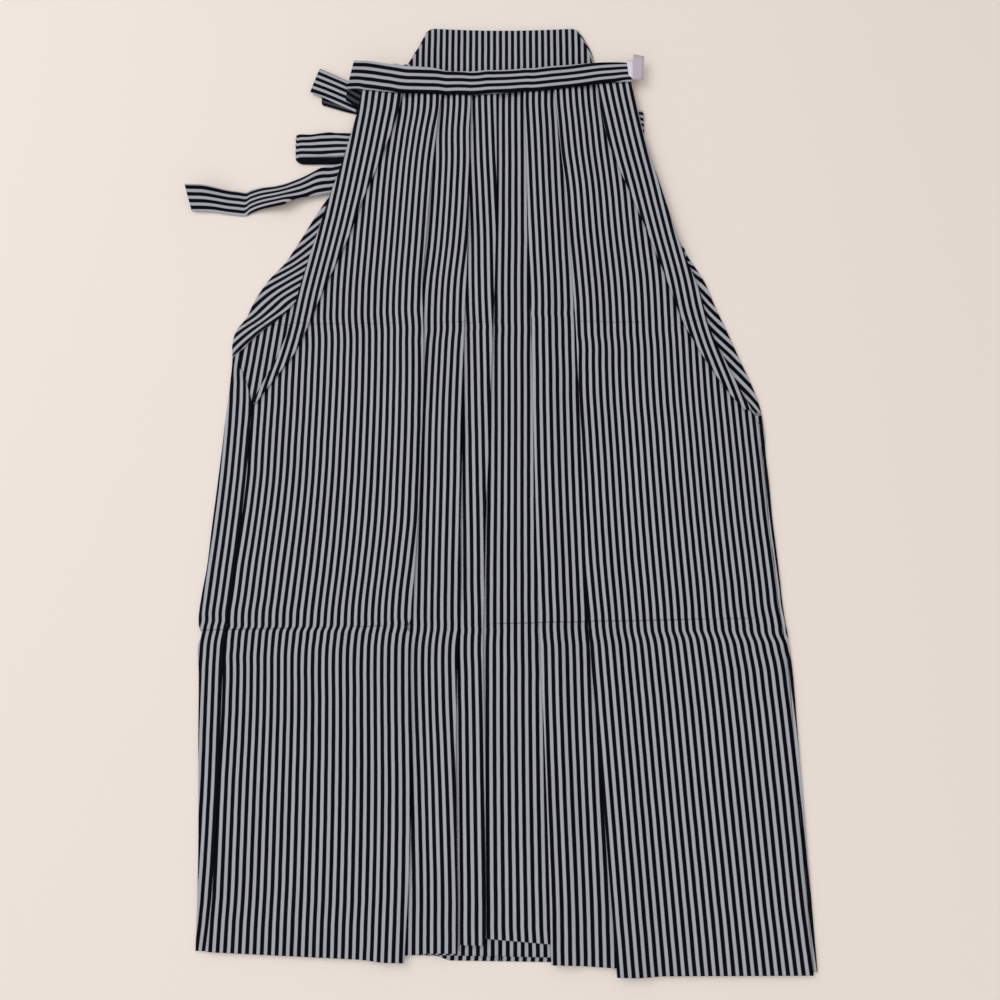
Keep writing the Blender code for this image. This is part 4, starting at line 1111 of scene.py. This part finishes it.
# %% Floor and light
FLOOR_HALF = 3
FLOOR_HEIGHT = -0.0002
FLOOR_COLOUR = (0.80, 0.72, 0.655, 1)
WHITE = (1, 1, 1, 1)
WORLD_STRENGTH = 0.625
# Name, place, side length and power of each lamp
LAMPS = (("window", (-1.3, 0.9, 1.9), 1.5, 18), ("fill", (-0.4, -1.5, 2.2), 4.0, 29))

corners = [(x * FLOOR_HALF, y * FLOOR_HALF, FLOOR_HEIGHT) for x, y in ((-1, -1), (1, -1), (1, 1), (-1, 1))]
floor_mesh = bpy.data.meshes.new("floor")
floor_mesh.from_pydata(corners, [], [(0, 1, 2, 3)])
floor = bpy.data.objects.new("floor", floor_mesh)
bpy.context.scene.collection.objects.link(floor)
floor_material, _, _ = principled("floor", Base_Color=FLOOR_COLOUR, Roughness=0.9, Specular_IOR_Level=0.2)
floor_mesh.materials.append(floor_material)

world = bpy.data.worlds.new("studio")
world.use_nodes = True
world.node_tree.nodes["Background"].inputs["Color"].default_value = WHITE
world.node_tree.nodes["Background"].inputs["Strength"].default_value = WORLD_STRENGTH
bpy.context.scene.world = world
bpy.context.scene.view_settings.view_transform = "Standard"


def soft_light(name, place, size, energy):
    """A square lamp.  It shines down its own -Z, so its Z axis points to it from the garment's middle."""
    lamp = bpy.data.lights.new(name, "AREA")
    lamp.shape, lamp.size, lamp.energy = "SQUARE", size, energy
    stand = bpy.data.objects.new(name, lamp)
    side = np.cross((0, 1, 0), place)
    stand.matrix_world = standing((side, np.cross(place, side), place), place)
    bpy.context.scene.collection.objects.link(stand)
    print("Lamp", name, "stands", round(float(np.linalg.norm(place)), 2), "m away")


for lamp_settings in LAMPS:
    soft_light(*lamp_settings)

# %% [markdown]
# ## What each sheet was cut to
# Cloth is bought and cut flat, so a table gives the size of each piece's cut in metres, width before length,
# all round where it is doubled.  It also gives whether it was laid or folded, and what it rests on.  These
# sizes could be summed up from the mesh, but they are listed one by one.

# %% Sheets
# Piece, flat size, how it is held, and what it rests on
CUTS = (
    (left_front, (0.39, 0.885), "laid", ["left_back", "folded_away_ties"]),
    (right_front, (0.39, 0.885), "laid", ["right_back", "folded_away_ties"]),
    (left_pleat, (0.05, 0.37), "folded", ["left_front"]),
    (right_pleat, (0.05, 0.39), "folded", ["right_front"]),
    (left_back, (0.33, 0.87), "laid", ["floor"]),
    (right_back, (0.30, 0.87), "laid", ["floor"]),
    (band, (0.054, 0.31), "laid", ["left_front", "right_front", "board"]),
    (board, (0.19, 0.18), "laid", ["floor"]),
    (loose_tie, (0.054, 0.172), "laid", ["floor"]),
    (under_tie, (0.054, 0.055), "laid", ["floor"]),
    (upper_tie, (0.054, 0.066), "folded", ["front_tie_under"]),
    (turned_end, (0.033, 0.016), "laid", ["left_back"]),
    (left_root, (0.044, 0.032), "laid", ["left_back"]),
    (right_root, (0.044, 0.025), "laid", ["left_back"]),
    (left_loop, (0.054, 0.13), "folded", ["floor"]),
    (right_loop, (0.054, 0.02), "folded", ["floor"]),
    (folded_away, (0.054, 0.99), "folded", ["left_back", "right_back"]),
    (label, (0.018, 0.03), "laid", ["band"]),
)
area = sum(width * length for _, (width, length), _, _ in CUTS)
print(len(CUTS), "pieces were cut from", round(area, 2), "square metres of cloth")

# %% [markdown]
# ## The size, once more
# The cloth was fitted to the solids, so its box must be theirs but for the cloth's own play.
